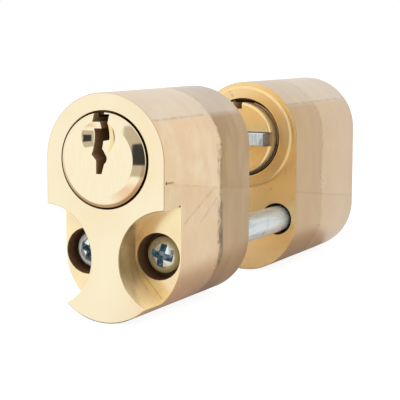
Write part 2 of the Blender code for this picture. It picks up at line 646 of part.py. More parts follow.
def build():
    """Make both halves and what joins them."""
    clear_scene()
    make_collection(PARTS_NAME)
    make_collection(CUTTERS_NAME)
    inside = half_frame("inside_frame", -1, 0.0)
    outside = half_frame("outside_frame", 1, math.pi)
    build_half("inside_", inside, screw_side_bores)
    build_half("outside_", outside, post_side_bores)
    for name, side in SIDES.items():
        connecting_screw("connecting_screw_" + name, inside, side, CROSS_TURNS[name])
        connecting_post("connecting_post_" + name, inside, side)
    settle_all()


build()
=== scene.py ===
"""Looks of a double oval lock cylinder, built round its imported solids.

Lengths are in metres, on the frame's own axes: X across the oval, Y through the door with the inside
half at -Y, Z up. A half is worked out with its outer face at depth 0 and its depth running to the
lock, as (x, depth, z) points, and half_place then puts those points where that half is.
"""

import json
import math
from functools import partial

import bmesh
import bpy
import numpy as np
from bpy.props import FloatProperty, FloatVectorProperty, IntProperty, PointerProperty
from mathutils import Matrix, Vector


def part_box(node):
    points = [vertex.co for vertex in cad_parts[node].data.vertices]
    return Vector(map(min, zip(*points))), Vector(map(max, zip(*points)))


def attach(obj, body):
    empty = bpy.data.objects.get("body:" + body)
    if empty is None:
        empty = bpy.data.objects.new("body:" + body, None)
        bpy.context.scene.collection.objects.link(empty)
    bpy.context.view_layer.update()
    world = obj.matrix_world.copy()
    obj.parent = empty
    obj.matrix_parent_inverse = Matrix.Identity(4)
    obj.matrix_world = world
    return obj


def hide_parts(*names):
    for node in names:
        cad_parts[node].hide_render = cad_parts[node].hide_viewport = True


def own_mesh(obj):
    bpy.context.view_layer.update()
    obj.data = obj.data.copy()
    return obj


bl_info = {
    "name": "Oval Lock Cylinder",
    "version": (1, 0, 0),
    "blender": (4, 5, 0),
    "location": "3D View > Sidebar > Lock Cylinder",
    "description": "Fine brass and steel surfaces for a double oval lock cylinder",
    "category": "Object",
}

MM = 0.001

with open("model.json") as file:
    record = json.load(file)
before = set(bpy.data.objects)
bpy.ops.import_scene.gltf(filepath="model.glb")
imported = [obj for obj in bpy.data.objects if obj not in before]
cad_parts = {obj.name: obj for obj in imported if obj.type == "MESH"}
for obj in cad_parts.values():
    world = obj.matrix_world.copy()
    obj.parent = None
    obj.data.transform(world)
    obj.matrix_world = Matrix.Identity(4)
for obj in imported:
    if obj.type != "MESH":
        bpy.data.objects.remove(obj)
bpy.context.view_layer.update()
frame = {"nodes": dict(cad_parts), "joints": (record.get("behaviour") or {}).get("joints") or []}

# What the frame gives, depths from a half's outer face towards the lock
BODY_LOW, BODY_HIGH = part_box("inside_body")
OUTER_FACE = -BODY_LOW.y
BODY_RADIUS = BODY_HIGH.x
ARC_RISE = BODY_HIGH.z - BODY_RADIUS
BOSS_TOP = BODY_HIGH.y + OUTER_FACE
TURN_JOINT = next(joint for joint in frame["joints"] if joint["name"] == "inside_plug_turn")
PLUG_RISE = TURN_JOINT["pos_m"][2]
PLUG_LOW, PLUG_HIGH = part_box("inside_plug")
HEAD_RADIUS = PLUG_HIGH.x
HEAD_FACE = PLUG_LOW.y + OUTER_FACE
PLUG_END = PLUG_HIGH.y + OUTER_FACE
CLIP_LOW, CLIP_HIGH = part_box("inside_retaining_clip")
CLIP_RADIUS = max(CLIP_HIGH.x, -CLIP_LOW.x)
CLIP_NEAR = CLIP_LOW.y + OUTER_FACE
CLIP_FAR = CLIP_HIGH.y + OUTER_FACE
BAR_LOW, BAR_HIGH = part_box("inside_tail_bar")
SCREW_LOW, SCREW_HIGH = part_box("connecting_screw_right")
POST_LOW, POST_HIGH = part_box("connecting_post_right")
SCREW_X = (SCREW_LOW.x + SCREW_HIGH.x) / 2
SCREW_Z = (SCREW_LOW.z + SCREW_HIGH.z) / 2
STACKS = range(1, 6)
HALVES = {"inside": 1, "outside": -1}
SIDES = {"right": 1, "left": -1}

# How far a cutter runs past the face that it opens, and how near points are that become one
PAST = 1.0 * MM
MERGE = 0.0005 * MM
# Points round the smaller pieces
HOLE_COLUMNS, DISC_COLUMNS, SCREW_COLUMNS, DISH_COLUMNS = 32, 48, 96, 160

# Marks, in millimetres: those of the side at (y, z), with a width and a strength or a radius
SIDE_SCRATCHES = (
    ((-26.6, 2.3), (-38.3, -2.6), 0.4, 0.2), ((-25.5, 0.4), (-33.0, -3.6), 0.4, 0.18),
    ((-45.2, 4.7), (-42.5, 4.6), 0.25, 0.6), ((-24.3, -1.2), (-24.5, -7.5), 1.5, 0.6),
    ((-24.1, -5.5), (-23.6, -12.6), 1.1, 0.75), ((-24.9, 9.0), (-24.6, 4.4), 1.3, 0.4),
    ((-25.1, 13.0), (-24.0, 12.9), 0.5, 0.4),
)
SIDE_PITS = ((-45.0, 4.7, 0.4), (-40.2, 0.25, 0.55))
# Those of the outer face and of the recess floor at (x, z)
FACE_SPECKS = ((-7.1, -17.1, 0.45), (-8.0, -16.4, 0.3))
FLOOR_SCRATCHES = (((3.7, -11.2), (7.4, -15.3)), ((3.4, -12.6), (5.4, -15.0)))

# What a kind of node is set to where a call doesn't say otherwise
USUAL_SETTINGS = {"Math": {"operation": "MULTIPLY"}, "Mix": {"data_type": "RGBA"},
                  "MapRange": {"interpolation_type": "SMOOTHSTEP"}}
WHITE = (1.0, 1.0, 1.0)

# Each lamp's name, place in metres, side in metres and power in watts
LAMPS = (("key_lamp", (-0.35, -0.3, 0.5), 0.5, 2.2), ("fill_lamp", (0.5, 0.2, 0.3), 0.4, 0.8))
# The room's gap and block: azimuth and elevation in degrees, half width, half height and soft edge
ROOM_GAP = (34, 7, 0.44, 0.53, 0.03)
ROOM_BLOCK = (30, 4, 0.22, 0.23, 0.02)


def hex_colour(code):
    """Linear colour of an sRGB hex value, for a shader's socket."""
    parts = np.array([int(code[i:i + 2], 16) for i in (0, 2, 4)]) / 255
    linear = np.where(parts <= 0.04045, parts / 12.92, ((parts + 0.055) / 1.055) ** 2.4)
    return tuple(float(part) for part in linear)


def length(name, description, size):
    """A length property whose default is a real size in millimetres."""
    return FloatProperty(name=name, description=description, default=size * MM, min=0.0, precision=5,
                         subtype="DISTANCE", unit="LENGTH")


def colour(name, description, code):
    """A colour property whose default is an sRGB hex value."""
    return FloatVectorProperty(name=name, description=description, default=hex_colour(code), size=3,
                               min=0.0, max=1.0, subtype="COLOR")


class CylinderSizes(bpy.types.PropertyGroup):
    """Sizes of the edges, seats and cuts that the frame doesn't give."""

    columns: IntProperty(name="Columns", description="Points round a large piece", default=288, min=48)
    edge: length("Edge", "Rounding of the oval's edges", 0.15)
    tail_chamfer: length("Tail chamfer", "Chamfer round the plug's end", 0.32)
    break_edge: length("Bore edge", "Chamfer at the mouth of each bore", 0.1)
    boss_height: length("Boss", "How far the boss stands off the lock face", 1.5)
    boss_radius: length("Boss radius", "Outer radius of the boss", 10.2)
    boss_edge: length("Boss edge", "Rounding of the boss", 0.35)
    core_radius: length("Core", "Radius of the plug behind its head", 7.15)
    running_gap: length("Running gap", "Clearance of what turns or slides", 0.2)
    seat_gap: length("Seat gap", "Clearance of what is seated", 0.3)
    head_gap: length("Head gap", "Dark ring round the plug's head", 0.25)
    head_seat: length("Head seat", "Depth of the head's seat in the body", 1.6)
    head_rim: length("Head rim", "How far the head's rim stands proud", 0.3)
    cone_width: length("Cone", "Width of the bevel round the plug's face", 2.0)
    cone_edge: length("Cone edge", "Rounding of the bevel's two edges", 0.16)
    groove_depth: length("Groove", "Depth of the clip's groove in the plug", 0.85)
    clip_gap: length("Clip seat", "Clearance round the retaining clip", 0.15)
    dish_rise: length("Dish rise", "Height of the dish above the plug's axis", 3.85)
    dish_shift: length("Dish shift", "How far the dish lies to the left of the plug's axis", 0.45)
    dish_radius: length("Dish", "Radius of the dish at the plug's face", 3.1)
    dish_depth: length("Dish depth", "Depth of the dish in the plug's face", 1.25)
    recess_radius: length("Recess", "Radius of the round side recess", 8.7)
    recess_x: length("Recess place", "How far the recess lies from the middle", 11.3)
    recess_drop: length("Recess drop", "How far the recess lies below the middle", 8.4)
    recess_depth: length("Recess depth", "Depth of the side recess", 6.0)
    counterbore: length("Counterbore", "Radius of the screw head's counterbore", 3.9)
    counterbore_depth: length("Counterbore depth", "Depth of the counterbore below the recess", 3.5)
    web: length("Web", "Brass between the screw's seat and the post", 2.7)
    socket_depth: length("Socket", "Depth of the post's socket in the outside half", 12.0)
    mouth_gap: length("Mouth", "How much wider the socket's mouth is than the post", 0.5)
    mouth_depth: length("Mouth depth", "Depth of the wider mouth", 1.5)
    shank_radius: length("Shank", "Radius of the screw's shank", 1.6)
    dome_radius: length("Screw dome", "Radius of the ball that the screw's head follows", 4.4)
    cross_arm: length("Cross arm", "Reach of the screw's cross recess", 2.0)
    cross_width: length("Cross width", "Width of the cross recess at the top", 1.15)
    cross_depth: length("Cross depth", "Depth of the cross recess", 1.6)
    cross_straight: length("Cross wall", "How deep the cross recess stays as wide", 0.5)
    cross_taper: FloatProperty(name="Cross taper", description="Size of the cross's bottom to its top",
                               default=0.62, min=0.1, max=1.0)
    slot_depth: length("Tail slot", "Depth of the slot across the plug's end", 1.5)
    tang_width: length("Tang", "Width of the tail bar's tang", 4.6)
    tail_pin: length("Tail pin", "Radius of the pin through the tang", 0.75)
    keyway_edge: length("Keyway edge", "Rounding of the keyway's corners", 0.07)
    key_mouth: length("Key mouth", "Width of the keyway's mouth at the tail end", 1.96)
    key_mouth_depth: length("Key mouth depth", "Depth of that mouth, from the head's radius", 2.0)
    clip_edge: length("Clip edge", "Rounding of the retaining clip's edges", 0.12)
    bar_edge: length("Bar edge", "Rounding of the tail bar's corners", 0.14)
    rim_edge: length("Rim edge", "Rounding of the screw head's rim", 0.15)
    cross_edge: length("Cross edge", "Rounding of the cross recess's corners", 0.12)
    post_edge: length("Post edge", "Rounding of the posts' ends", 0.3)
    tip_chamfer: length("Tip chamfer", "Chamfer of the screw's tip", 0.5)
    tip_room: length("Tip room", "Bore in the post past the screw's tip", 6.0)
    disc_chamfer: length("Disc chamfer", "Chamfer round the foot of the chamber plugs", 0.06)
    spring_wire: length("Spring wire", "Radius of the springs' wire", 0.22)
    spring_turns: IntProperty(name="Spring turns", description="Turns of wire in each spring",
                              default=4, min=1)


class CylinderColours(bpy.types.PropertyGroup):
    """Colours of the brass and steel surfaces."""

    polished: colour("Polished brass", "Lapped outer faces and the plug's head", "FCEFCE")
    side: colour("Satin brass", "Belt-ground sides", "E8CAA3")
    side_pale: colour("Pale satin brass", "Rubbed patches of the sides", "EED8B6")
    # Also laid on as painted shade: on the boss, and in dark lines along the sides' facets
    side_dull_and_shade: colour("Dull brass", "Unground band next to the lock", "AB8B5C")
    # Also a painted reflection of the floor in the lower bevel of the plug's head
    side_dull_pale_and_reflection: colour("Dull brass, pale", "Lighter patches of that band", "B7976A")
    # Also laid below the lower facet's line on the sides, as painted shade
    side_worn_and_shade: colour("Worn brass", "Pinkish facets and the outside half", "CBAE89")
    # Painted reflection: the greyer top of the sides, where the oval turns up towards the bright room
    side_top_reflection: colour("Top reflection", "Painted greyer reflection along the top", "DDD0BF")
    turned: colour("Turned brass", "Lock face, boss and the plug's tail", "F3D49A")
    pocket_wall: colour("Milled wall", "Wall of the side recess", "C9AC78")
    pocket_floor: colour("Milled floor", "Floor of the side recess", "FFEABC")
    # Painted shade: bores, chambers and keyways are coloured dark for the shade inside them
    bored: colour("Bored brass", "Inside bores and chambers", "6E5036")
    broached: colour("Broached brass", "Keyways", "A88460")
    # Also laid along the sides' foot as a painted reflection of the shadow under the lock
    tarnish_and_shade: colour("Tarnish", "Spots and nicks", "5E4A33")
    blued: colour("Blued steel", "Retaining clips", "6C5B58")
    sheared: colour("Sheared steel", "Tail bars", "D6E4EE")
    sheared_dark: colour("Sheared steel, dark", "Streaks of the tail bars", "8C979E")
    # Painted shade: a darker copy of the sheared steel for the bars' ends
    sheared_end_shade: colour("Sheared end", "Ends of the tail bars", "857C78")
    zinc: colour("Zinc plate", "Screws", "F0F4F5")
    # Painted reflection of the brass counterbore in the rim of a screw's head
    zinc_rim_reflection: colour("Zinc plate, painted rim reflection", "Painted reflection of the brass in the rim of a screw's head", "D2BD83")
    post: colour("Drawn zinc plate", "Posts", "CBD2D3")
    post_dark: colour("Drawn zinc plate, dark", "Streaks of the posts", "868E8F")
    passivated: colour("Blue zinc plate", "Cross recess of the screws", "4A7C92")
    passivated_pale: colour("Blue zinc plate, pale", "Glints in the cross recess", "D5E0E2")
    nickel: colour("Nickel silver", "Key pins and driver pins", "C9C3B2")
    nickel_dark: colour("Nickel silver, dark", "Rings of the pins", "8F8878")
    spring: colour("Spring steel", "Springs and tail pins", "A9ADB0")
    spring_dark: colour("Spring steel, dark", "Streaks of the springs", "6D7073")
    paper: colour("Paper", "Floor", "E6E6E4")
    # Painted light: the floor's warmth near the lock as mirrors show it, for light thrown back from the brass
    paper_mirrored_bounce: colour("Mirrored paper", "Floor close to the lock, as the brass shows it", "D3BFB0")
    room_gap: colour("Room's gap", "Beige gap between the white screens", "C6BDB2")
    room_block: colour("Room's block", "Dark block where the camera stood", "3B3D40")


class StudioSettings(bpy.types.PropertyGroup):
    """Camera, floor and lamps."""

    azimuth: FloatProperty(name="Azimuth", description="Camera's angle round the lock",
                           default=math.radians(25.61), subtype="ANGLE", unit="ROTATION")
    elevation: FloatProperty(name="Elevation", description="Camera's angle above the floor",
                             default=math.radians(7.08), subtype="ANGLE", unit="ROTATION")
    roll: FloatProperty(name="Roll", description="Camera's turn about its own view",
                        default=math.radians(0.22), subtype="ANGLE", unit="ROTATION")
    distance: length("Distance", "From the camera to the point it looks at", 238.2)
    lens: FloatProperty(name="Lens", description="Focal length in millimetres", default=119.0, min=10.0)
    target: FloatVectorProperty(name="Target", description="Point that the camera looks at", size=3,
                                default=(4.51 * MM, -19.03 * MM, -1.18 * MM), subtype="TRANSLATION")
    floor_size: length("Floor", "Side of the floor", 4000.0)
    light: FloatProperty(name="Room light", description="Strength of the white room", default=1.0,
                         min=0.0)


def sizes():
    """The sizes that the panel shows."""
    return bpy.context.scene.cylinder_sizes


def colours():
    """The colours that the panel shows."""
    return bpy.context.scene.cylinder_colours


def oval(radius, columns):
    """Half circles of that radius about (0, ARC_RISE) and (0, -ARC_RISE), joined by straight sides.

    With t the way round, angle = clip(t - side) / R + clip(t - 2 side - pi R) / R over the two half
    circles, and centre = -ARC_RISE + clip(t) - clip(t - side - pi R) over the two sides.
    """
    side = 2 * ARC_RISE
    bend = math.pi * BODY_RADIUS
    way = np.linspace(0, 2 * (side + bend), columns, endpoint=False)
    angle = (np.clip(way - side, 0, bend) + np.clip(way - 2 * side - bend, 0, bend)) / BODY_RADIUS
    centre = np.clip(way, 0, side) - np.clip(way - side - bend, 0, side) - ARC_RISE
    return np.stack([radius * np.cos(angle), centre + radius * np.sin(angle)], axis=-1)


def eased(points, ease, steps, closed=False):
    """Each corner P becomes the short curve (1-t)^2 A + 2t(1-t) P + t^2 B, with A and B on its two sides.

    A and B lie the ease away from P, or less than half a side where the side is short.
    """
    points = np.asarray(points, float)
    before = np.roll(points, 1, axis=0) - points
    after = np.roll(points, -1, axis=0) - points
    reach_before = np.linalg.norm(before, axis=1, keepdims=True)
    reach_after = np.linalg.norm(after, axis=1, keepdims=True)
    back = np.minimum(ease, 0.45 * np.minimum(reach_before, reach_after))
    start = points + before / reach_before * back
    end = points + after / reach_after * back
    t = np.linspace(0, 1, steps + 1)[None, :, None]
    curves = (1 - t) ** 2 * start[:, None] + 2 * t * (1 - t) * points[:, None] + t ** 2 * end[:, None]
    if closed:
        return curves.reshape(-1, 2)
    return np.concatenate([points[:1], curves[1:-1].reshape(-1, 2), points[-1:]])


def inset(outline, distance):
    """A closed outline moved in by d: P - d (n1 + n2) / (1 + n1.n2), with n its sides' outward normals."""
    ahead = np.roll(outline, -1, axis=0) - outline
    ahead = ahead / np.linalg.norm(ahead, axis=1, keepdims=True)
    after = np.stack([ahead[:, 1], -ahead[:, 0]], axis=-1)
    before = np.roll(after, 1, axis=0)
    share = 1 + np.sum(after * before, axis=1, keepdims=True)
    return outline - distance * (after + before) / share


def grid(x, depth, z):
    """Points from three arrays, each spread over the others' rows and columns."""
    return np.stack(np.broadcast_arrays(x, depth, z), axis=-1)


def half_place(points, half):
    """(x, depth, z) points of a half in the frame: the outside half is turned half a turn about Z."""
    sign = HALVES[half]
    x, depth, z = points[..., 0], points[..., 1], points[..., 2]
    return grid(sign * x, sign * (depth - OUTER_FACE), z)


def shell(name, loops):
    """A closed surface through loops of points, the first and the last loop filled."""
    rows, columns = loops.shape[:2]
    row, column = np.meshgrid(np.arange(rows - 1), np.arange(columns), indexing="ij")
    after = (column + 1) % columns
    corners = [row * columns + column, row * columns + after,
               (row + 1) * columns + after, (row + 1) * columns + column]
    faces = np.stack(corners, axis=-1).reshape(-1, 4).tolist()
    ends = [list(range(columns)), list(range((rows - 1) * columns, rows * columns))]
    mesh = bpy.data.meshes.new(name)
    mesh.from_pydata(loops.reshape(-1, 3), [], faces + ends)
    shape = bmesh.new()
    shape.from_mesh(mesh)
    bmesh.ops.remove_doubles(shape, verts=shape.verts, dist=MERGE)
    bmesh.ops.dissolve_degenerate(shape, edges=shape.edges, dist=MERGE)
    bmesh.ops.recalc_face_normals(shape, faces=shape.faces)
    shape.to_mesh(mesh)
    shape.free()
    piece = bpy.data.objects.new(name, mesh)
    bpy.context.scene.collection.objects.link(piece)
    return piece


def turned_loops(profile, centre, columns):
    """(radius, depth) points turned about a line along depth: (x + r cos a, depth, z + r sin a)."""
    angle = np.linspace(0, 2 * math.pi, columns, endpoint=False)[None, :]
    radius, depth = (np.asarray(profile, float)[:, i:i + 1] for i in (0, 1))
    return grid(centre[0] + radius * np.cos(angle), depth, centre[1] + radius * np.sin(angle))


def upright_loops(radius, foot, top, place, columns):
    """A vertical cylinder through a half: (r cos a, place + r sin a, height)."""
    angle = np.linspace(0, 2 * math.pi, columns, endpoint=False)[None, :]
    return grid(radius * np.cos(angle), place + radius * np.sin(angle), np.array([[foot], [top]]))


def carried_loops(outline, near, far):
    """An (x, z) outline carried straight from one depth to another."""
    return grid(outline[None, :, 0], np.array([[near], [far]]), outline[None, :, 1])


def quarter(steps):
    """Shares (1 - cos t, 1 - sin t) of a rounded edge, from its flat face to its side."""
    t = np.linspace(math.pi / 2, 0, steps + 1)
    return np.stack([1 - np.cos(t), 1 - np.sin(t)], axis=-1)


def carve(piece, tools, operation="DIFFERENCE"):
    """Cut a piece by its tools, or join them to it, and keep only the finished mesh."""
    for tool in tools:
        modifier = piece.modifiers.new(tool.name, "BOOLEAN")
        modifier.object = tool
        modifier.operation = operation
        modifier.solver = "EXACT"
        modifier.material_mode = "TRANSFER"
    depsgraph = bpy.context.evaluated_depsgraph_get()
    mesh = bpy.data.meshes.new_from_object(piece.evaluated_get(depsgraph), depsgraph=depsgraph)
    if not len(mesh.polygons):
        raise RuntimeError(f"{piece.name}: nothing is left after its cuts")
    piece.modifiers.clear()
    piece.data = mesh
    for tool in tools:
        bpy.data.objects.remove(tool, do_unlink=True)
    return piece


def smooth(piece, sharp_degrees=32):
    """Smooth the round faces, keep sharp edges sharp, and keep the faces square to Y flat."""
    mesh = piece.data
    mesh.shade_smooth()
    mesh.set_sharp_from_angle(angle=math.radians(sharp_degrees))
    normals = np.empty(len(mesh.polygons) * 3)
    mesh.polygons.foreach_get("normal", normals)
    level = np.abs(normals.reshape(-1, 3)[:, 1]) > 0.99999
    mesh.polygons.foreach_set("use_smooth", ~level)
    mesh.update()
    return piece


def face_places(piece, half):
    """For each face of a half's piece: its centre's x, depth and z, and its normal's share along depth."""
    mesh = piece.data
    centres = np.empty(len(mesh.polygons) * 3)
    normals = np.empty(len(mesh.polygons) * 3)
    mesh.polygons.foreach_get("center", centres)
    mesh.polygons.foreach_get("normal", normals)
    x, y, z = (centres.reshape(-1, 3)[:, i] for i in range(3))
    sign = HALVES[half]
    return sign * x, sign * y + OUTER_FACE, z, sign * normals.reshape(-1, 3)[:, 1]


def give_materials(piece, materials, slots=None):
    """Give a piece its materials, and each face the number of its own where there are several."""
    piece.data.materials.clear()
    for material in materials:
        piece.data.materials.append(material)
    if slots is not None:
        piece.data.polygons.foreach_set("material_index", slots.astype(np.int32))
    piece.data.update()


def settle(piece, body, nodes):
    """Let a finished piece ride on its body and stand for its CAD nodes."""
    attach(piece, body)
    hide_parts(*nodes)


def add_node(tree, kind, *values, inputs=None, out=None, **settings):
    """Add a node with its settings, set or link its inputs in order or by name, and give back an output."""
    node = tree.nodes.new("ShaderNode" + kind)
    for key, value in {**USUAL_SETTINGS.get(kind, {}), **settings}.items():
        setattr(node, key, value)
    in_order = zip([socket for socket in node.inputs if socket.enabled], values)
    by_name = [(node.inputs[key], value) for key, value in (inputs or {}).items()]
    for socket, value in [*in_order, *by_name]:
        if isinstance(value, bpy.types.NodeSocket):
            tree.links.new(value, socket)
        else:
            socket.default_value = (*value[:3], 1.0) if socket.type == "RGBA" else value
    return node.outputs[out] if out else next((socket for socket in node.outputs if socket.enabled), None)


def new_material(name):
    """An empty node material, what adds a node to it, and the point on the piece that its patterns read.

    The point is in the frame's own metres, because every piece lies at the origin.
    """
    material = bpy.data.materials.new(name)
    material.use_nodes = True
    material.node_tree.nodes.clear()
    add = partial(add_node, material.node_tree)
    return material, add, add("TexCoord", out="Object")


def finished(material, add, base, roughness, metallic=1.0, height=None, depth=0.0):
    """The material with its shader, on which a height from 0 to 1 stands that deep, in metres."""
    inputs = {"Base Color": base, "Roughness": roughness, "Metallic": metallic}
    if height:
        inputs["Normal"] = add("Bump", inputs={"Height": height, "Strength": 1.0, "Distance": depth})
    add("OutputMaterial", add("BsdfPrincipled", inputs=inputs))
    return material


def grain(add, point, size, detail=2.0, roughness=0.5, squash=(1, 1, 1), lift=0.0):
    """Noise whose features are about as large as size, in metres, longer where squash is under 1."""
    moved = add("Mapping", point, inputs={"Scale": squash, "Location": (lift, lift, lift)})
    return add("TexNoise", moved, 1 / size, detail, roughness)


def layered(add, base, *layers):
    """A colour with others laid over it, each by its share."""
    for share, shade in layers:
        base = add("Mix", share, base, shade)
    return base


def varied(add, base, pattern, low, high, dark, pale):
    """A colour made darker where a pattern is low, and paler where it is high."""
    return add("Mix", 1.0, base, add("MapRange", pattern, low, high, dark, pale), blend_type="MULTIPLY")


def from_axis(add, point, rise):
    """How far a point lies from a line along Y at that height."""
    across = add("Mapping", point, inputs={"Location": (0, 0, -rise), "Scale": (1, 0, 1)})
    return add("VectorMath", across, operation="LENGTH")


def spot(add, point, centre, radius):
    """A share that is 1 at a centre and falls to 0 at a radius from it."""
    away = add("VectorMath", point, centre, operation="DISTANCE")
    return add("MapRange", away, 0.4 * radius, radius, 1.0, 0.0)


def scratch(add, point, start, end, width):
    """A share that is 1 on a straight scratch, by the distance to its nearest point.

    That point lies clamp((p - a).(b - a) / |b - a|^2) of the way from the start a to the end b.
    """
    start, way = Vector(start), Vector(end) - Vector(start)
    from_start = add("VectorMath", point, start, operation="SUBTRACT")
    share = add("Clamp", add("VectorMath", from_start, way / way.length_squared, operation="DOT_PRODUCT"))
    nearest = add("VectorMath", way, share, operation="SCALE")
    away = add("VectorMath", from_start, nearest, operation="DISTANCE")
    return add("MapRange", away, 0.3 * width, width, 1.0, 0.0)


def side_brass(name, band_edge, worn):
    """Brass bar ground on a belt: satin, with its marks round the oval, and rubbed paler in patches.

    Next to the lock a band was left as drawn. It is duller, and spotted where the grinding stopped.
    The belt's two shallow facets are painted, not shaped. The top, where the oval turns over, is painted
    greyer as a painted reflection of the bright room above. The side below a sloping line near the middle is
    painted a little pinker as painted shade, and a dark line of painted shade runs along each facet's edge.
    """
    material, add, point = new_material(name)
    shades = colours()
    y, z = (add("SeparateXYZ", point, out=axis) for axis in "YZ")

    # How far a point lies past the ragged end of the grinding, towards the lock
    wander = add("Math", grain(add, point, 6 * MM), 2.4 * MM)
    ragged = add("Math", grain(add, point, 0.9 * MM, 3.0, 0.6), 1.0 * MM)
    along = add("Math", add("Math", y, operation="ABSOLUTE"), wander, operation="ADD")
    along = add("Math", along, ragged, operation="ADD")
    from_edge = add("Math", along, band_edge + 1.7 * MM, operation="SUBTRACT")
    band = add("MapRange", from_edge, -0.35 * MM, 0.35 * MM, 1.0, 0.0)

    # The belt's grit leaves marks of 0.05 mm, drawn 0.45 mm wide because finer ones don't show
    marks = grain(add, point, 0.45 * MM, 3.0, 0.6, (0.08, 1.0, 0.08))
    broad = grain(add, point, 4 * MM, 2.0, 0.5, (0.4, 1.0, 0.4), 0.31)
    rubbed = add("MapRange", grain(add, point, 7 * MM, 4.0, 0.6, lift=0.13), 0.44, 0.7)
    ground = add("Mix", rubbed, shades.side, shades.side_pale)
    drawn = add("Mix", add("MapRange", broad, 0.4, 0.7), shades.side_dull_and_shade, shades.side_dull_pale_and_reflection)

    # The top facet's painted reflection starts where the oval turns over, and the lower one's painted shade
    # slopes down from the front
    top = add("MapRange", z, 13.9 * MM, 15.1 * MM, 0.0, 0.55)
    lower = add("Math", z, add("Math", y, 0.127), operation="ADD")
    lower = add("Math", lower, 1.1 * MM, operation="ADD")
    below = add("MapRange", lower, -0.3 * MM, 0.3 * MM, 0.2, 0.0)
    base = layered(add, ground, (band, drawn), (worn, shades.side_worn_and_shade), (top, shades.side_top_reflection),
                   (below, shades.side_worn_and_shade))
    # Painted shade: a broken dark line along the edge of each facet
    for height, place, strength in ((z, 14.7 * MM, 0.4), (lower, 0.0, 0.3)):
        away = add("Math", add("Math", height, place, operation="SUBTRACT"), operation="ABSOLUTE")
        line = add("MapRange", away, 0.03 * MM, 0.3 * MM, strength, 0.0)
        broken = add("MapRange", grain(add, point, 3 * MM, 3.0, 0.6, lift=0.57), 0.35, 0.6)
        base = add("Mix", add("Math", line, broken), base, shades.side_dull_and_shade)
    base = varied(add, base, marks, 0.25, 0.75, 0.965, 1.02)
    base = varied(add, base, broad, 0.3, 0.7, 0.975, 1.01)

    # Tarnish: specks where the grinding stopped, scratches that are worn away in places, and pits. Along the
    # foot, a painted dark reflection of the shadow under the lock
    near_edge = add("MapRange", add("Math", from_edge, operation="ABSOLUTE"), 0.1 * MM, 1.5 * MM, 1.0, 0.0)
    specks = add("MapRange", grain(add, point, 0.6 * MM, 3.0, 0.65), 0.52, 0.66)
    layers = [add("Math", add("Math", near_edge, specks), 0.5)]
    left = add("MapRange", grain(add, point, 0.9 * MM, 3.0, 0.65, lift=0.83), 0.38, 0.58, 0.15, 1.0)
    for start, end, width, strength in SIDE_SCRATCHES:
        line = scratch(add, point, on_side(*start), on_side(*end), width * MM)
        layers.append(add("Math", add("Math", line, left), strength))
    for y_mm, z_mm, radius in SIDE_PITS:
        layers.append(add("Math", spot(add, point, on_side(y_mm, z_mm), radius * MM), 0.9))
    # Painted reflection: the foot is darkened where the brass would mirror the shadow on the floor under the
    # lock
    layers.append(add("MapRange", z, BODY_LOW.z + 0.8 * MM, BODY_LOW.z + 1.6 * MM, 0.75, 0.0))
    base = layered(add, base, *((layer, shades.tarnish_and_shade) for layer in layers))
    rough = add("MapRange", marks, 0.2, 0.8, 0.26, 0.4)
    return finished(material, add, base, rough, height=marks, depth=0.002 * MM)


def on_side(y, z):
    """A point on the right side of the lock, from millimetres along and up."""
    return BODY_RADIUS, y * MM, z * MM


def polished_brass():
    """Lapped and polished brass: a pale cream mirror with the faintest haze, and specks at its lower edge."""
    material, add, point = new_material("lapped_brass_face")
    shades = colours()
    haze = add("MapRange", grain(add, point, 14 * MM), 0.35, 0.7, 0.0, 0.5)
    # The lap's hairlines are 0.01 mm wide, drawn at 0.3 mm so that they soften the mirror
    hairlines = grain(add, point, 0.3 * MM, 2.0, 0.5, (0.06, 1.0, 1.0))
    base = add("Mix", haze, shades.polished, shades.turned)
    base = add("Mix", 0.6, shades.polished, base)
    for x, z, radius in FACE_SPECKS:
        speck = spot(add, point, (x * MM, -OUTER_FACE, z * MM), radius * MM)
        base = add("Mix", add("Math", speck, 0.55), base, shades.tarnish_and_shade)
    rough = add("MapRange", hairlines, 0.3, 0.7, 0.12, 0.2)
    return finished(material, add, base, rough, height=hairlines, depth=0.0006 * MM)


def head_brass():
    """Brass polished on a wheel: a clear mirror, so the room's dark gaps show in the bevel and the dish.

    The bevel's lower part is painted a little duller and browner, a painted reflection of the floor in front
    of the lock.
    """
    material, add, point = new_material("mirror_polished_brass")
    shades = colours()
    # Hairlines of 0.01 mm, drawn at 0.5 mm
    hairlines = grain(add, point, 0.5 * MM, 2.0, 0.5, (1.0, 1.0, 0.2))
    base = add("Mix", add("MapRange", hairlines, 0.3, 0.8, 0.0, 0.12), shades.polished, shades.turned)
    # Painted reflection: the bevel's lower part takes a browner tone for the floor in front that it mirrors
    bevel = add("MapRange", from_axis(add, point, PLUG_RISE), HEAD_RADIUS - 0.7 * MM, HEAD_RADIUS - 0.4 * MM)
    z = add("SeparateXYZ", point, out="Z")
    low = add("MapRange", z, PLUG_RISE - 7 * MM, PLUG_RISE + 3 * MM, 1.0, 0.05)
    base = add("Mix", add("Math", bevel, low), base, shades.side_dull_pale_and_reflection)
    return finished(material, add, base, add("MapRange", hairlines, 0.3, 0.7, 0.05, 0.09))


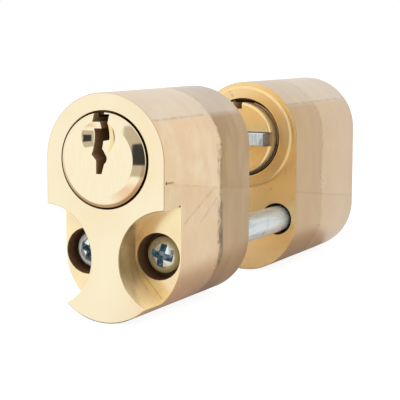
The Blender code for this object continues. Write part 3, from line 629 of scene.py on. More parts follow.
def turned_brass(name, centre_z, shade, roughness):
    """Brass faced in a lathe: golden, with fine rings about the turning axis and a few dull spots.

    Its fine ridges scatter some light, so it isn't all metal and stays golden where a mirror would be dark.
    """
    material, add, point = new_material(name)
    shades = colours()
    radius = from_axis(add, point, centre_z)
    # The tool's feed leaves rings of 0.1 mm, drawn 1.4 mm apart because finer ones blur into streaks
    rings = add("TexNoise", radius, 1 / (1.4 * MM), 1.0, noise_dimensions="1D")
    # Painted shade: the boss is darkened with dull brass below, fading out towards its top
    boss = add("MapRange", radius, CLIP_RADIUS + 0.3 * MM, CLIP_RADIUS + 0.6 * MM)
    boss = add("Math", boss, add("MapRange", radius, 10.0 * MM, 10.4 * MM, 1.0, 0.0))
    boss = add("Math", boss, add("MapRange", add("SeparateXYZ", point, out="Z"), 11 * MM, 17 * MM, 0.35, 0.0))
    spots = add("MapRange", grain(add, point, 1.6 * MM, 3.0, 0.6), 0.64, 0.76, 0.0, 0.35)
    base = layered(add, varied(add, shade, rings, 0.3, 0.7, 0.985, 1.01), (boss, shades.side_dull_and_shade),
                   (spots, shades.tarnish_and_shade))
    return finished(material, add, base, add("MapRange", rings, 0.3, 0.7, roughness, roughness + 0.02), 0.65)


def milled_wall():
    """Brass side-milled in a pocket: a smeared mirror with tool marks, olive where the room is dark.

    Its lower part is painted in the floor's bright colour, a painted reflection of the floor under it.
    """
    material, add, point = new_material("side_milled_brass")
    shades = colours()
    # Cutter marks of 0.1 mm, drawn at 0.5 mm
    marks = grain(add, point, 0.5 * MM, 3.0, 0.6, (0.08, 1.0, 0.08))
    cloud = add("MapRange", grain(add, point, 3 * MM, lift=0.7), 0.45, 0.75, 0.0, 0.25)
    # Painted reflection of the bright floor on the wall's lower part
    low = add("MapRange", add("SeparateXYZ", point, out="Z"), -15 * MM, -9.5 * MM, 1.0, 0.0)
    base = layered(add, shades.pocket_wall, (cloud, shades.bored), (low, shades.pocket_floor))
    base = varied(add, base, marks, 0.3, 0.7, 0.88, 1.04)
    rough = add("MapRange", marks, 0.3, 0.7, 0.16, 0.26)
    return finished(material, add, base, rough, 0.6, marks, 0.002 * MM)


def milled_floor():
    """Brass end-milled: a bright golden floor with faint sweeps of the cutter and two thin scratches."""
    material, add, point = new_material("end_milled_brass")
    shades = colours()
    # The cutter's sweeps are 0.1 mm apart, drawn at 0.7 mm
    sweeps = grain(add, point, 0.7 * MM, 2.0, 0.5, (1.0, 1.0, 0.25))
    base = varied(add, shades.pocket_floor, grain(add, point, 4 * MM), 0.3, 0.7, 0.94, 1.03)
    base = varied(add, base, sweeps, 0.3, 0.7, 0.985, 1.01)
    depth = sizes().recess_depth - OUTER_FACE
    for (x, z), (far_x, far_z) in FLOOR_SCRATCHES:
        line = scratch(add, point, (x * MM, depth, z * MM), (far_x * MM, depth, far_z * MM), 0.2 * MM)
        base = add("Mix", add("Math", line, 0.4), base, shades.side_dull_and_shade)
    return finished(material, add, base, add("MapRange", sweeps, 0.3, 0.7, 0.18, 0.22), 0.85)


def bored_brass(name, shade):
    """Drilled and broached brass, oiled and dulled, and painted a deep warm brown as painted shade of the
    bores and keyways.
    """
    material, add, point = new_material(name)
    # Drill marks of 0.1 mm, drawn at 0.4 mm
    marks = grain(add, point, 0.4 * MM)
    base = varied(add, shade, marks, 0.3, 0.7, 0.85, 1.05)
    return finished(material, add, base, add("MapRange", marks, 0.3, 0.7, 0.4, 0.55), 0.3)


def streaked_steel(name, shade, dark, size, squash, roughness, streak=0.25, metallic=1.0, depth=0.0015):
    """Steel with drawn or sheared streaks: bright, with thin darker lines the way it was worked.

    The streaks are drawn coarser than the real hundredths of a millimetre, by the size that is given.
    """
    material, add, point = new_material(name)
    streaks = grain(add, point, size, 3.0, 0.6, squash)
    smudges = grain(add, point, 2.5 * MM, lift=0.4)
    base = layered(add, shade, (add("MapRange", streaks, 0.45, 0.75, 0.0, streak), dark),
                   (add("MapRange", smudges, 0.55, 0.75, 0.0, streak), dark))
    rough = add("MapRange", streaks, 0.3, 0.7, roughness - 0.05, roughness + 0.08)
    return finished(material, add, base, rough, metallic, streaks, depth * MM)


def zinc_plate(name, rim_reflection):
    """Bright zinc plate on a screw: a silver mirror, dull towards the rim of its head, and there a painted
    reflection of the brass round it is laid on.
    """
    material, add, point = new_material(name)
    shades = colours()
    x, z = (add("SeparateXYZ", point, out=axis) for axis in "XZ")
    across = add("Math", add("Math", x, operation="ABSOLUTE"), SCREW_X, operation="SUBTRACT")
    up = add("Math", z, SCREW_Z, operation="SUBTRACT")
    radius = add("Math", add("Math", across, across), add("Math", up, up), operation="ADD")
    radius = add("Math", radius, operation="SQRT")
    ragged = add("Math", grain(add, point, 0.9 * MM), 0.8 * MM)
    rim = add("MapRange", add("Math", radius, ragged, operation="ADD"), 2.4 * MM, 2.8 * MM)
    smears = add("MapRange", grain(add, point, 0.8 * MM, lift=0.2), 0.55, 0.75, 0.0, 0.15)
    # Painted reflection: the olive-gold of the brass round the head is laid on its rim
    base = layered(add, shades.zinc, (smears, shades.post), (add("Math", rim, rim_reflection), shades.zinc_rim_reflection))
    return finished(material, add, base, add("MapRange", rim, 0.0, 1.0, 0.06, 0.35),
                    add("MapRange", rim, 0.0, 1.0, 0.7, 0.1))


def half_shell(name, loops, half):
    """A closed surface through a half's loops."""
    return shell(name, half_place(loops, half))


def oval_body(half):
    """The oval carried along its depth, R - d (1 - cos t) at d (1 - sin t) on both edges, and its boss."""
    size = sizes()
    lock_depth = BOSS_TOP - size.boss_height
    edge = quarter(4) * size.edge
    insets = np.concatenate([edge[:, 0], edge[::-1, 0]])[:, None]
    depths = np.concatenate([edge[:, 1], lock_depth - edge[::-1, 1]])[:, None]
    outline = oval(BODY_RADIUS - insets, size.columns)
    piece = half_shell(half + "_oval_body", grid(outline[..., 0], depths, outline[..., 1]), half)
    boss = ((0, BOSS_TOP), (size.boss_radius - size.boss_edge, BOSS_TOP),
            (size.boss_radius, BOSS_TOP - size.boss_edge), (size.boss_radius, lock_depth - size.boss_height),
            (0, lock_depth - size.boss_height))
    rounded = eased(boss, 0.4 * size.boss_edge, 3)
    carve(piece, [half_tool("boss", rounded, 0.0, PLUG_RISE, half)], "UNION")
    tools = [*plug_bore(half), *chambers(half), *side_bores(half)]
    return smooth(carve(piece, tools))


def half_tool(name, profile, x, z, half):
    """A turned cutter of a half, about a line along its depth."""
    return half_shell(f"{half}_{name}_tool", turned_loops(profile, (x, z), sizes().columns // 2), half)


def plug_bore(half):
    """The bore with the head's seat in front and the clip's seat behind, chamfered at both mouths."""
    size = sizes()
    seat = HEAD_RADIUS + size.head_gap
    bore = size.core_radius + size.running_gap
    clip = CLIP_RADIUS + size.clip_gap
    flare = size.break_edge + PAST
    profile = ((0, -PAST), (seat + flare, -PAST), (seat, size.break_edge), (seat, size.head_seat),
               (bore, size.head_seat), (bore, CLIP_NEAR - size.running_gap),
               (clip, CLIP_NEAR - size.running_gap), (clip, BOSS_TOP - size.break_edge),
               (clip + flare, BOSS_TOP + PAST), (0, BOSS_TOP + PAST))
    return [half_tool("plug_bore", profile, 0.0, PLUG_RISE, half)]


def chamber_places(half):
    """How deep in its half each pin stack stands."""
    corners = [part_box(f"{half}_key_pin_{number}") for number in STACKS]
    return [abs((low.y + high.y) / 2 * HALVES[half] + OUTER_FACE) for low, high in corners]


def chambers(half):
    """The five chambers drilled up from the body's foot to the plug's axis."""
    low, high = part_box(f"{half}_chamber_plug_1")
    radius = (high.x - low.x) / 2 + 0.5 * sizes().clip_gap
    loops = [upright_loops(radius, BODY_LOW.z - PAST, PLUG_RISE, place, HOLE_COLUMNS)
             for place in chamber_places(half)]
    return [half_shell(f"{half}_chamber_{number}_tool", each, half) for number, each in enumerate(loops)]


def side_bores(half):
    """Screw recesses in the inside half, and post sockets in the outside half."""
    size = sizes()
    lock_depth = BOSS_TOP - size.boss_height
    post = (POST_HIGH.x - POST_LOW.x) / 2 + size.seat_gap
    flare = size.break_edge + PAST
    if half == "outside":
        mouth = post - size.seat_gap + size.mouth_gap
        profile = ((0, lock_depth - size.socket_depth), (post, lock_depth - size.socket_depth),
                   (post, lock_depth - size.mouth_depth), (mouth, lock_depth - size.mouth_depth),
                   (mouth, lock_depth - size.break_edge), (mouth + flare, lock_depth + PAST),
                   (0, lock_depth + PAST))
        return [half_tool("socket_" + side, profile, sign * SCREW_X, SCREW_Z, half)
                for side, sign in SIDES.items()]
    seat = size.recess_depth + size.counterbore_depth
    hole = size.shank_radius + size.seat_gap
    lead = size.break_edge
    recess = ((0, -PAST), (size.recess_radius + flare, -PAST), (size.recess_radius, size.break_edge),
              (size.recess_radius, size.recess_depth), (0, size.recess_depth))
    bore = ((0, size.recess_depth - lead), (size.counterbore + 2 * lead, size.recess_depth - lead),
            (size.counterbore, size.recess_depth + lead), (size.counterbore, seat), (hole, seat),
            (hole, seat + size.web), (post, seat + size.web), (post, lock_depth - size.break_edge),
            (post + flare, lock_depth + PAST), (0, lock_depth + PAST))
    tools = []
    for side, sign in SIDES.items():
        tools.append(half_tool("recess_" + side, recess, sign * size.recess_x, -size.recess_drop, half))
        tools.append(half_tool("screw_bore_" + side, bore, sign * SCREW_X, SCREW_Z, half))
    return tools


def body_slots(piece, half):
    """Which finish each face of a body takes: side, outer face, lock face, pocket floor, wall or bore."""
    size = sizes()
    x, depth, z, facing = face_places(piece, half)
    lock_depth = BOSS_TOP - size.boss_height
    near = 0.02 * MM
    from_spine = np.hypot(x, z - np.clip(z, -ARC_RISE, ARC_RISE))
    from_plug = np.hypot(x, z - PLUG_RISE)
    from_recess = np.hypot(np.abs(x) - size.recess_x, z + size.recess_drop)
    flat = np.abs(facing) > 0.999
    slots = np.full(len(x), 5)
    slots[from_spine > BODY_RADIUS - 1.1 * size.edge] = 0
    slots[flat & (depth < near)] = 1
    slots[(depth > lock_depth - near) & (from_plug > CLIP_RADIUS + 2 * size.clip_gap)] = 2
    in_pocket = (half == "inside") & (depth < size.recess_depth + near) & (depth > near)
    slots[in_pocket & flat & (from_recess < size.recess_radius)] = 3
    slots[in_pocket & ~flat & (np.abs(from_recess - size.recess_radius) < size.edge)] = 4
    return slots


def keyway_outline():
    """The keyway seen from outside, in millimetres across and up from the plug's axis.

    From below: its stem, a bulge that is an arc (x + r cos a, z + r sin a), waist, warded top and mouth.
    """
    angle = np.radians(np.linspace(-58, 60, 13))
    bulge = np.stack([0.12 + 1.04 * np.cos(angle), 0.35 + 1.04 * np.sin(angle)], axis=-1)
    above = HEAD_RADIUS / MM + 1
    right = ((0.18, -2.2), *bulge.tolist(), (-0.12, 1.9), (-0.12, 3.1), (1.2, 3.35), (1.2, 7.5),
             (0.22, 7.5), (0.22, above))
    left = ((-1.7, above), (-1.7, 6.24), (-0.38, 6.24), (-0.38, 5.15), (-1.65, 5.15), (-1.65, 0.95),
            (-0.82, 0.0), (-0.82, -2.2))
    outline = eased(np.array(right + left) * MM, sizes().keyway_edge, 3, closed=True)
    return outline + np.array([0, PLUG_RISE])


def plug_profile():
    """The plug's outline from its tail end to its face: (radius, depth) points with eased corners."""
    size = sizes()
    core = size.core_radius
    groove = core - size.groove_depth
    head_back = size.head_seat - size.seat_gap
    chamfer = size.tail_chamfer
    tail = ((0, PLUG_END), (core - chamfer, PLUG_END), (core, PLUG_END - chamfer))
    grooved = ((core, CLIP_FAR + size.running_gap), (groove, CLIP_FAR + size.running_gap),
               (groove, CLIP_NEAR - size.running_gap), (core, CLIP_NEAR - size.running_gap))
    head = ((core, head_back), (HEAD_RADIUS, head_back), (HEAD_RADIUS, -size.head_rim),
            (HEAD_RADIUS - size.cone_width, HEAD_FACE), (0, HEAD_FACE))
    return eased(tail + grooved + head, size.cone_edge, 4)


def plug_tools(half):
    """What is cut from a plug: keyway, dish, chambers, the tail's slot and pocket, and the pin's hole.

    The dish is a paraboloid: its depth is D (1 - (r / R)^2), and it runs on past the plug's face.
    """
    size = sizes()
    bar_half = (BAR_HIGH.z - BAR_LOW.z) / 2 + size.running_gap
    slot_floor = PLUG_END - size.slot_depth
    bar_foot = BAR_LOW.y + OUTER_FACE - size.seat_gap
    share = np.append(np.linspace(0, 1.25, 49), 0)
    height = np.append(1 - share[:-1] ** 2, 1 - share[-2] ** 2)
    dish = np.stack([size.dish_radius * share, HEAD_FACE + size.dish_depth * height], axis=-1)
    tang = size.tang_width / 2 + size.running_gap
    axis = np.array([0, PLUG_RISE])
    mouth = rectangle(size.key_mouth / 2, size.key_mouth_depth) + axis + [0, HEAD_RADIUS]
    pin_low, pin_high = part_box(f"{half}_tail_pin")
    pin_place = abs((pin_low.y + pin_high.y) / 2 * HALVES[half] + OUTER_FACE)
    loops = {
        "keyway": carried_loops(keyway_outline(), HEAD_FACE - PAST, CLIP_NEAR),
        "keyway_end": carried_loops(mouth, CLIP_NEAR - PAST, PLUG_END + PAST),
        "dish": turned_loops(dish, (-size.dish_shift, PLUG_RISE + size.dish_rise), DISH_COLUMNS),
        "slot": carried_loops(rectangle(HEAD_RADIUS + PAST, bar_half) + axis, slot_floor, PLUG_END + PAST),
        "pocket": carried_loops(rectangle(tang, bar_half) + axis, bar_foot, PLUG_END + PAST),
        "pin_hole": upright_loops(size.tail_pin + size.running_gap, PLUG_RISE - HEAD_RADIUS,
                                  pin_high.z + size.running_gap, pin_place, HOLE_COLUMNS),
    }
    low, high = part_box(f"{half}_key_pin_1")
    chamber = (high.x - low.x) / 2 + size.running_gap
    foot = PLUG_RISE - HEAD_RADIUS - PAST
    top = max(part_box(f"{half}_key_pin_{number}")[1].z for number in STACKS) + PAST
    for number, place in enumerate(chamber_places(half)):
        loops[f"plug_chamber_{number}"] = upright_loops(chamber, foot, top, place, HOLE_COLUMNS)
    return [half_shell(f"{half}_{name}_tool", each, half) for name, each in loops.items()]


def rectangle(half_width, half_height):
    """A rectangle's corners about the middle."""
    return np.array([[-1, -1], [1, -1], [1, 1], [-1, 1]]) * [half_width, half_height]


def keyed_plug(half):
    """A plug: its eased profile turned about the axis, (r cos a, depth, z + r sin a), and cut."""
    size = sizes()
    loops = turned_loops(plug_profile(), (0.0, PLUG_RISE), size.columns)
    piece = half_shell(half + "_keyed_plug", loops, half)
    return smooth(carve(piece, plug_tools(half)))


def plug_slots(piece, half):
    """Which finish each face of a plug takes: polished head, turned tail, or bored inside."""
    size = sizes()
    x, depth, z, facing = face_places(piece, half)
    radius = np.hypot(x, z - PLUG_RISE)
    slots = np.full(len(x), 2)
    near, steep = 0.1 * MM, 0.4
    skin = radius > size.core_radius - near
    groove = (depth > CLIP_NEAR - size.seat_gap) & (radius > size.core_radius - size.groove_depth - near)
    tail = depth > PLUG_END - size.slot_depth - PAST
    slots[skin | groove | tail & (np.abs(facing) > steep)] = 1
    slots[(depth < size.head_seat) & (skin | (facing < -steep))] = 0
    return slots


def retaining_clip(half):
    """An eased rectangle carried round the plug's groove: (-r cos a, depth, r sin a).

    It is open from 348 degrees round to 104.
    """
    size = sizes()
    inner = size.core_radius - size.groove_depth + size.running_gap
    section = eased([[inner, CLIP_NEAR], [CLIP_RADIUS, CLIP_NEAR], [CLIP_RADIUS, CLIP_FAR],
                     [inner, CLIP_FAR]], size.clip_edge, 3, closed=True)
    angle = np.radians(np.linspace(104, 348, 140))[:, None]
    radius, depth = section[None, :, 0], section[None, :, 1]
    loops = grid(-radius * np.cos(angle), depth, PLUG_RISE + radius * np.sin(angle))
    return smooth(half_shell(half + "_circlip", loops, half), 50)


def tail_bar(half):
    """A T-shaped outline in x and depth carried through the bar's thickness, its edges eased."""
    size = sizes()
    wide, tang = BAR_HIGH.x, size.tang_width / 2
    top = BAR_HIGH.y + OUTER_FACE
    foot = BAR_LOW.y + OUTER_FACE
    shoulder = PLUG_END - size.slot_depth + size.seat_gap
    corners = ((-wide, top), (-wide, shoulder), (-tang, shoulder), (-tang, foot), (tang, foot),
               (tang, shoulder), (wide, shoulder), (wide, top))
    outline = eased(corners, size.bar_edge, 3, closed=True)
    thick = (BAR_HIGH.z - BAR_LOW.z) / 2
    edge = quarter(3) * size.break_edge
    insets = np.concatenate([edge[:, 0], edge[::-1, 0]])
    heights = np.concatenate([edge[:, 1] - thick, thick - edge[::-1, 1]])
    rings = np.stack([inset(outline, distance) for distance in insets])
    loops = grid(rings[..., 0], rings[..., 1], PLUG_RISE + heights[:, None])
    return smooth(half_shell(half + "_tail_blade", loops, half), 50)


def cross_loops(turn, top, size):
    """A cross recess: twelve corners turned about the screw, and drawn in towards its bottom."""
    arm, half_width = size.cross_arm, size.cross_width / 2
    corners = np.array([[arm, -half_width], [arm, half_width], [half_width, half_width]])
    quarters = [corners @ np.array([[math.cos(a), math.sin(a)], [-math.sin(a), math.cos(a)]])
                for a in turn + np.arange(4) * math.pi / 2]
    outline = eased(np.concatenate(quarters), size.cross_edge, 2, closed=True)
    shares = np.array([1.0, 1.0, size.cross_taper])[:, None]
    depths = top + np.array([-PAST, size.cross_straight, size.cross_depth])[:, None]
    return grid(outline[None, :, 0] * shares, depths, outline[None, :, 1] * shares)


def connecting_screw(side, turn, recess_material):
    """A domed screw: depth = top + R - sqrt(R^2 - r^2), an eased rim and a shank, turned about its axis.

    The second piece is the cutter of its cross recess.
    """
    size = sizes()
    sign = SIDES[side]
    low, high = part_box("connecting_screw_" + side)
    head = (high.x - low.x) / 2
    top, tip = low.y + OUTER_FACE, high.y + OUTER_FACE
    underside = size.recess_depth + size.counterbore_depth - size.seat_gap
    ball = size.dome_radius
    radius = np.linspace(0, head, 25)
    cap = np.stack([radius, top + ball - np.sqrt(ball ** 2 - radius ** 2)], axis=-1)
    shank = size.shank_radius
    rest = np.array([[head, underside], [shank, underside], [shank, tip - size.tip_chamfer],
                     [shank - size.tip_chamfer, tip], [0, tip]])
    profile = np.concatenate([cap[:-1], eased(np.concatenate([cap[-2:], rest]), size.rim_edge, 4)[1:]])
    centre = (sign * SCREW_X, SCREW_Z)
    piece = half_shell(f"pan_head_screw_{side}", turned_loops(profile, centre, SCREW_COLUMNS), "inside")
    loops = cross_loops(turn, top, size) + np.array([centre[0], 0, centre[1]])
    tool = half_shell(f"cross_{side}_tool", loops, "inside")
    tool.data.materials.append(recess_material)
    return piece, tool


def connecting_post(side):
    """A post: an eased (radius, depth) profile with its bore for the screw, turned about its own axis."""
    size = sizes()
    low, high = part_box("connecting_post_" + side)
    radius = (high.x - low.x) / 2
    near, far = low.y + OUTER_FACE, high.y + OUTER_FACE
    bore = size.shank_radius + size.seat_gap
    bore_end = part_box("connecting_screw_" + side)[1].y + OUTER_FACE + size.tip_room
    profile = ((0, far), (radius, far), (radius, near), (bore, near), (bore, bore_end), (0, bore_end))
    centre = (SIDES[side] * SCREW_X, SCREW_Z)
    loops = turned_loops(eased(profile, size.post_edge, 4), centre, SCREW_COLUMNS)
    return smooth(half_shell(f"drawn_post_{side}", loops, "inside"))


def chamber_plug(half, number):
    """A disc under the body's round: depth below z is sqrt(R^2 - x^2), so its foot follows the oval."""
    low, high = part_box(f"{half}_chamber_plug_{number}")
    radius = (high.x - low.x) / 2
    place = chamber_places(half)[number - 1]
    # Rings from the foot's middle to its rim, where its chamfer lifts them, and back over the flat top
    foot_shares, top_shares = (0.02, 0.35, 0.7, 0.97, 1.0), (1.0, 0.97, 0.02)
    shares = np.array(foot_shares + top_shares)[:, None]
    angle = np.linspace(0, 2 * math.pi, DISC_COLUMNS, endpoint=False)[None, :]
    x = radius * shares * np.cos(angle)
    depth = place + radius * shares * np.sin(angle)
    foot = -ARC_RISE - np.sqrt(BODY_RADIUS ** 2 - x ** 2)
    row = np.arange(len(shares))[:, None]
    lift = np.where(row == len(foot_shares) - 1, sizes().disc_chamfer, 0)
    z = np.where(row < len(foot_shares), foot + lift, high.z)
    return smooth(half_shell(f"{half}_chamber_disc_{number}", grid(x, depth, z), half))


def coil_spring(half, number):
    """A wound wire: ((R + w cos f) cos t, (R + w cos f) sin t, w sin f), rising evenly with t."""
    size = sizes()
    low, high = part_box(f"{half}_spring_{number}")
    wire = size.spring_wire
    along = np.linspace(0, 2 * math.pi * size.spring_turns, 24 * size.spring_turns + 1)[:, None]
    around = np.linspace(0, 2 * math.pi, 10, endpoint=False)[None, :]
    radius = (high.x - low.x) / 2 - wire + wire * np.cos(around)
    x = (low.x + high.x) / 2 + radius * np.cos(along)
    y = (low.y + high.y) / 2 + radius * np.sin(along)
    z = low.z + wire + (high.z - low.z - 2 * wire) * along / along[-1] + wire * np.sin(around)
    return smooth(shell(f"{half}_coil_spring_{number}", grid(x, y, z)), 60)


class CYLINDER_OT_bodies(bpy.types.Operator):
    """Make both oval brass bodies, bored for the plugs, pins, screws and posts"""

    bl_idname = "lock_cylinder.bodies"
    bl_label = "Oval bodies"

    def execute(self, context):
        shades = colours()
        faces = [polished_brass(), turned_brass("faced_brass", PLUG_RISE, shades.turned, 0.24),
                 milled_floor(), milled_wall(), bored_brass("bored_brass", shades.bored)]
        for half, band_edge, worn in (("inside", 24.4, 0.0), ("outside", 26.0, 0.75)):
            piece = oval_body(half)
            side = side_brass(half + "_ground_brass", band_edge * MM, worn)
            give_materials(piece, [side, *faces], body_slots(piece, half))
            settle(piece, "root", [half + "_body"])
        return {"FINISHED"}


class CYLINDER_OT_plugs(bpy.types.Operator):
    """Make both plugs with their keyways, bevelled heads and slotted tails"""

    bl_idname = "lock_cylinder.plugs"
    bl_label = "Keyed plugs"

    def execute(self, context):
        shades = colours()
        finishes = [head_brass(), turned_brass("turned_brass_tail", PLUG_RISE, shades.turned, 0.2),
                    bored_brass("broached_brass", shades.broached)]
        for half in HALVES:
            piece = keyed_plug(half)
            give_materials(piece, finishes, plug_slots(piece, half))
            settle(piece, half + "_plug_group", [half + "_plug"])
        return {"FINISHED"}


class CYLINDER_OT_clips(bpy.types.Operator):
    """Make both blued retaining clips"""

    bl_idname = "lock_cylinder.clips"
    bl_label = "Retaining clips"

    def execute(self, context):
        shades = colours()
        blued = streaked_steel("blued_spring_steel", shades.blued, shades.tarnish_and_shade, 0.3 * MM,
                               (1.0, 0.1, 1.0), roughness=0.34, streak=0.4, metallic=0.7)
        for half in HALVES:
            piece = retaining_clip(half)
            give_materials(piece, [blued])
            settle(piece, half + "_plug_group", [half + "_retaining_clip"])
        return {"FINISHED"}


class CYLINDER_OT_bars(bpy.types.Operator):
    """Make both sheared tail bars"""

    bl_idname = "lock_cylinder.bars"
    bl_label = "Tail bars"

    def execute(self, context):
        shades = colours()
        sheared = streaked_steel("sheared_steel", shades.sheared, shades.sheared_dark, 0.25 * MM,
                                 (1.0, 1.0, 0.08), roughness=0.32, streak=0.8, metallic=0.35)
        # Painted shade: the bars' ends get a darker copy of their steel
        end = streaked_steel("sheared_bar_end_shade", shades.sheared_end_shade, shades.tarnish_and_shade, 0.25 * MM,
                             (1.0, 1.0, 0.08), roughness=0.4, streak=0.6, metallic=0.6)
        for half in HALVES:
            piece = tail_bar(half)
            x, _, _, facing = face_places(piece, half)
            ends = (np.abs(x) > BAR_HIGH.x - sizes().break_edge) & (np.abs(facing) < 0.9)
            give_materials(piece, [sheared, end], ends.astype(int))
            settle(piece, half + "_plug_group", [half + "_tail_bar"])
        return {"FINISHED"}


class CYLINDER_OT_screws(bpy.types.Operator):
    """Make both pan-head connecting screws"""

    bl_idname = "lock_cylinder.screws"
    bl_label = "Connecting screws"

    def execute(self, context):
        shades = colours()
        # The blue recess's pale streaks are painted glints
        blue = streaked_steel("blue_zinc_plated_steel", shades.passivated, shades.passivated_pale,
                              0.5 * MM, (1.0, 1.0, 1.0), roughness=0.3, streak=0.9, metallic=0.5)
        # Only the right screw's rim carries the painted reflection of the brass
        for side, degrees, rim_reflection in (("right", -13, 1.0), ("left", -20, 0.0)):
            piece, tool = connecting_screw(side, math.radians(degrees), blue)
            piece.data.materials.append(zinc_plate("zinc_plated_screw_" + side, rim_reflection))
            smooth(carve(piece, [tool]))
            settle(piece, "root", ["connecting_screw_" + side])
        return {"FINISHED"}


class CYLINDER_OT_posts(bpy.types.Operator):
    """Make both connecting posts"""

    bl_idname = "lock_cylinder.posts"
    bl_label = "Connecting posts"

    def execute(self, context):
        shades = colours()
        drawn = streaked_steel("drawn_zinc_plated_steel", shades.post, shades.post_dark, 1.3 * MM,
                               (1.0, 0.08, 1.0), roughness=0.25, streak=0.5, metallic=0.45, depth=0.0003)
        for side in SIDES:
            piece = connecting_post(side)
            give_materials(piece, [drawn])
            settle(piece, "root", ["connecting_post_" + side])
        return {"FINISHED"}


class CYLINDER_OT_chamber_plugs(bpy.types.Operator):
    """Make the ten discs that close the pin chambers"""

    bl_idname = "lock_cylinder.chamber_plugs"
    bl_label = "Chamber plugs"

    def execute(self, context):
        pressed = turned_brass("pressed_brass", BODY_LOW.z, colours().side, 0.3)
        for half in HALVES:
            for number in STACKS:
                piece = chamber_plug(half, number)
                give_materials(piece, [pressed])
                settle(piece, "root", [f"{half}_chamber_plug_{number}"])
        return {"FINISHED"}


class CYLINDER_OT_springs(bpy.types.Operator):
    """Make the ten coil springs"""

    bl_idname = "lock_cylinder.springs"
    bl_label = "Springs"

    def execute(self, context):
        shades = colours()
        wire = streaked_steel("drawn_spring_wire", shades.spring, shades.spring_dark, 0.3 * MM,
                              (1.0, 1.0, 0.3), roughness=0.3)
        for half in HALVES:
            for number in STACKS:
                piece = coil_spring(half, number)
                give_materials(piece, [wire])
                settle(piece, "root", [f"{half}_spring_{number}"])
                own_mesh(piece)
        return {"FINISHED"}


class CYLINDER_OT_inner_pieces(bpy.types.Operator):
    """Give the pins inside their finishes"""

    bl_idname = "lock_cylinder.inner_pieces"
    bl_label = "Pins"

    def execute(self, context):
        shades = colours()
        nickel = streaked_steel("turned_nickel_silver", shades.nickel, shades.nickel_dark, 0.3 * MM,
                                (0.3, 0.3, 1.0), roughness=0.26)
        for half in HALVES:
            for number in STACKS:
                for kind in ("key_pin", "driver_pin"):
                    self.dress(f"{half}_{kind}_{number}", nickel)
            self.dress(half + "_tail_pin", bpy.data.materials["drawn_spring_wire"])
        return {"FINISHED"}

    def dress(self, node, finish):
        """Put one material on a node of the frame."""
        mesh = frame["nodes"][node].data
        mesh.materials.clear()
        mesh.materials.append(finish)


class CYLINDER_OT_stage(bpy.types.Operator):
    """Make the pale floor, the white room, the lamps and the camera"""

    bl_idname = "lock_cylinder.stage"
    bl_label = "Stage"

    def execute(self, context):
        make_floor()
        make_room()
        make_lamps()
        make_camera()
        context.scene.view_settings.view_transform = "Standard"
        return {"FINISHED"}


def mirrored_share(add):
    """1 for what is seen in a mirror or through glass, and 0 for the camera and for falling light."""
    mirrored, through = (add("LightPath", out=f"Is {kind} Ray") for kind in ("Glossy", "Transmission"))
    return add("Math", mirrored, through, operation="MAXIMUM")


def white_paper():
    """Matt paper, white to the camera where no shadow lies on it.

    In a mirror it glows like the room, but under the lock and close in front, on the camera's side, it shows
    a warmer shade, painted light thrown back from the brass.
    """
    material, add, point = new_material("matt_white_paper")
    shades = colours()
    seen, mirrored = add("LightPath", out="Is Camera Ray"), mirrored_share(add)
    x, y = (add("SeparateXYZ", point, out=axis) for axis in "XY")

    # Where the paper is close to the lock: in front of its face, and under it between its sides
    ahead = add("Math", -OUTER_FACE, y, operation="SUBTRACT")
    aside = add("Math", ahead, math.tan(bpy.context.scene.studio.azimuth))
    aside = add("Math", x, aside, operation="ADD")
    close = add("Math", add("MapRange", ahead, 26 * MM, 42 * MM, 1.0, 0.0),
                add("MapRange", aside, -4 * MM, 18 * MM))
    close = add("Math", close, add("MapRange", ahead, -1 * MM, MM))
    from_middle = add("MapRange", add("Math", x, operation="ABSOLUTE"), 12 * MM, 24 * MM, 0.15, 1.0)
    past_ends = add("MapRange", add("Math", y, operation="ABSOLUTE"), OUTER_FACE, OUTER_FACE + MM)
    beside = add("Math", from_middle, past_ends, operation="MAXIMUM")
    far = add("Math", add("Math", 1.0, close, operation="SUBTRACT"), beside)

    head = (0.0, HEAD_FACE - OUTER_FACE, PLUG_RISE)
    direction = add("VectorMath", add("VectorMath", point, head, operation="SUBTRACT"), operation="NORMALIZE")
    # Painted light: mirrors show the paper in a warmer tone for light thrown back from the brass
    matt = add("BsdfDiffuse", add("Mix", mirrored, shades.paper, shades.paper_mirrored_bounce))
    shown = add("Mix", mirrored, WHITE, room_colours(add, direction))
    glow = add("Emission", shown, add("Math", add("Math", seen, 0.24), 1.0, operation="ADD"))
    share = add("Math", add("Math", seen, 0.72), add("Math", mirrored, far), operation="ADD")
    add("OutputMaterial", add("MixShader", share, matt, glow))
    return material


def make_floor():
    """A pale floor just under the lock."""
    half = bpy.context.scene.studio.floor_size / 2
    level = BODY_LOW.z - 0.02 * MM
    corners = np.column_stack([rectangle(half, half), np.full(4, level)])
    mesh = bpy.data.meshes.new("floor")
    mesh.from_pydata(corners.tolist(), [], [(0, 1, 2, 3)])
    mesh.materials.append(white_paper())
    floor = bpy.data.objects.new("floor", mesh)
    bpy.context.scene.collection.objects.link(floor)


def bearing(azimuth, elevation):
    """The direction at those angles, (sin a cos e, -cos a cos e, sin e), and the level one to its right."""
    a, e = azimuth, elevation
    away = Vector((math.sin(a) * math.cos(e), -math.cos(a) * math.cos(e), math.sin(e)))
    return away, Vector((math.cos(a), math.sin(a), 0))


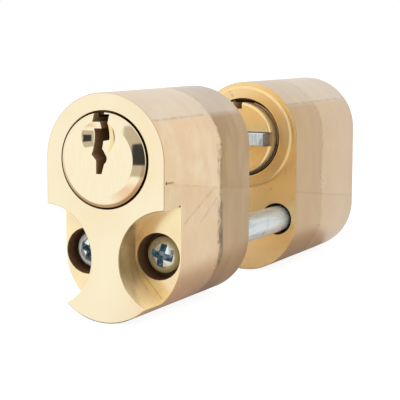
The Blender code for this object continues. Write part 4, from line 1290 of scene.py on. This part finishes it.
def room_patch(add, direction, azimuth, elevation, half_width, half_height, soft):
    """A share that is 1 in a rectangle of directions, by its two offsets across and up from its middle."""
    forward, across = bearing(math.radians(azimuth), math.radians(elevation))
    ahead = add("VectorMath", direction, forward, operation="DOT_PRODUCT")
    patch = add("MapRange", ahead, 0.0, 0.2)
    for axis, reach in ((across, half_width), (forward.cross(across), half_height)):
        offset = add("VectorMath", direction, axis, operation="DOT_PRODUCT")
        offset = add("Math", offset, operation="ABSOLUTE")
        patch = add("Math", patch, add("MapRange", offset, reach - soft, reach + soft, 1.0, 0.0))
    return patch


def room_colours(add, direction):
    """A white room with one dark block where the camera stood, in a beige gap between the screens."""
    shades = colours()
    gap = room_patch(add, direction, *ROOM_GAP)
    block = room_patch(add, direction, *ROOM_BLOCK)
    return layered(add, WHITE, (gap, shades.room_gap), (block, shades.room_block))


def make_room():
    """The white room as a world, plain white to the camera."""
    world = bpy.data.worlds.new("white_room")
    bpy.context.scene.world = world
    world.use_nodes = True
    world.node_tree.nodes.clear()
    add = partial(add_node, world.node_tree)
    room = room_colours(add, add("TexCoord", out="Generated"))
    shown = add("Mix", mirrored_share(add), WHITE, room)
    add("OutputWorld", add("Background", shown, bpy.context.scene.studio.light))


def make_lamps():
    """Two large soft lamps, one high on the left in front and one low on the right behind."""
    for name, place, size, power in LAMPS:
        lamp = bpy.data.lights.new(name, "AREA")
        lamp.size = size
        lamp.energy = power
        item = bpy.data.objects.new(name, lamp)
        item.visible_glossy = False
        item.location = place
        item.rotation_euler = (-Vector(place)).to_track_quat("-Z", "Y").to_euler()
        bpy.context.scene.collection.objects.link(item)


def make_camera():
    """The camera at the photograph's angle, looking from azimuth and elevation at its target."""
    studio = bpy.context.scene.studio
    back, level = bearing(studio.azimuth, studio.elevation)
    upright = back.cross(level)
    right = level * math.cos(studio.roll) + upright * math.sin(studio.roll)
    data = bpy.data.cameras.new("camera")
    data.lens = studio.lens
    camera = bpy.data.objects.new("camera", data)
    turn = Matrix((right, back.cross(right), back)).transposed()
    camera.matrix_world = Matrix.Translation(Vector(studio.target) + back * studio.distance) @ turn.to_4x4()
    bpy.context.scene.collection.objects.link(camera)
    bpy.context.scene.camera = camera


OPERATORS = (CYLINDER_OT_bodies, CYLINDER_OT_plugs, CYLINDER_OT_clips, CYLINDER_OT_bars,
             CYLINDER_OT_screws, CYLINDER_OT_posts, CYLINDER_OT_chamber_plugs, CYLINDER_OT_springs,
             CYLINDER_OT_inner_pieces, CYLINDER_OT_stage)


class CYLINDER_PT_panel(bpy.types.Panel):
    """Sizes, colours and steps of the lock cylinder"""

    bl_label = "Lock Cylinder"
    bl_space_type = "VIEW_3D"
    bl_region_type = "UI"
    bl_category = "Lock Cylinder"

    def draw(self, context):
        for operator in OPERATORS:
            self.layout.operator(operator.bl_idname)
        for group in (sizes(), colours(), context.scene.studio):
            box = self.layout.box()
            for key in group.bl_rna.properties.keys():
                if key not in ("rna_type", "name"):
                    box.prop(group, key)


CLASSES = (CylinderSizes, CylinderColours, StudioSettings, *OPERATORS, CYLINDER_PT_panel)


def register():
    """Add the settings, the operators and the panel."""
    for each in CLASSES:
        bpy.utils.register_class(each)
    bpy.types.Scene.cylinder_sizes = PointerProperty(type=CylinderSizes)
    bpy.types.Scene.cylinder_colours = PointerProperty(type=CylinderColours)
    bpy.types.Scene.studio = PointerProperty(type=StudioSettings)


def unregister():
    """Take them away again."""
    del bpy.types.Scene.studio
    del bpy.types.Scene.cylinder_colours
    del bpy.types.Scene.cylinder_sizes
    for each in reversed(CLASSES):
        bpy.utils.unregister_class(each)


def main():
    """Make every piece and the stage."""
    register()
    for operator in OPERATORS:
        group, step = operator.bl_idname.split(".")
        getattr(getattr(bpy.ops, group), step)()


if __name__ == "__main__":
    main()
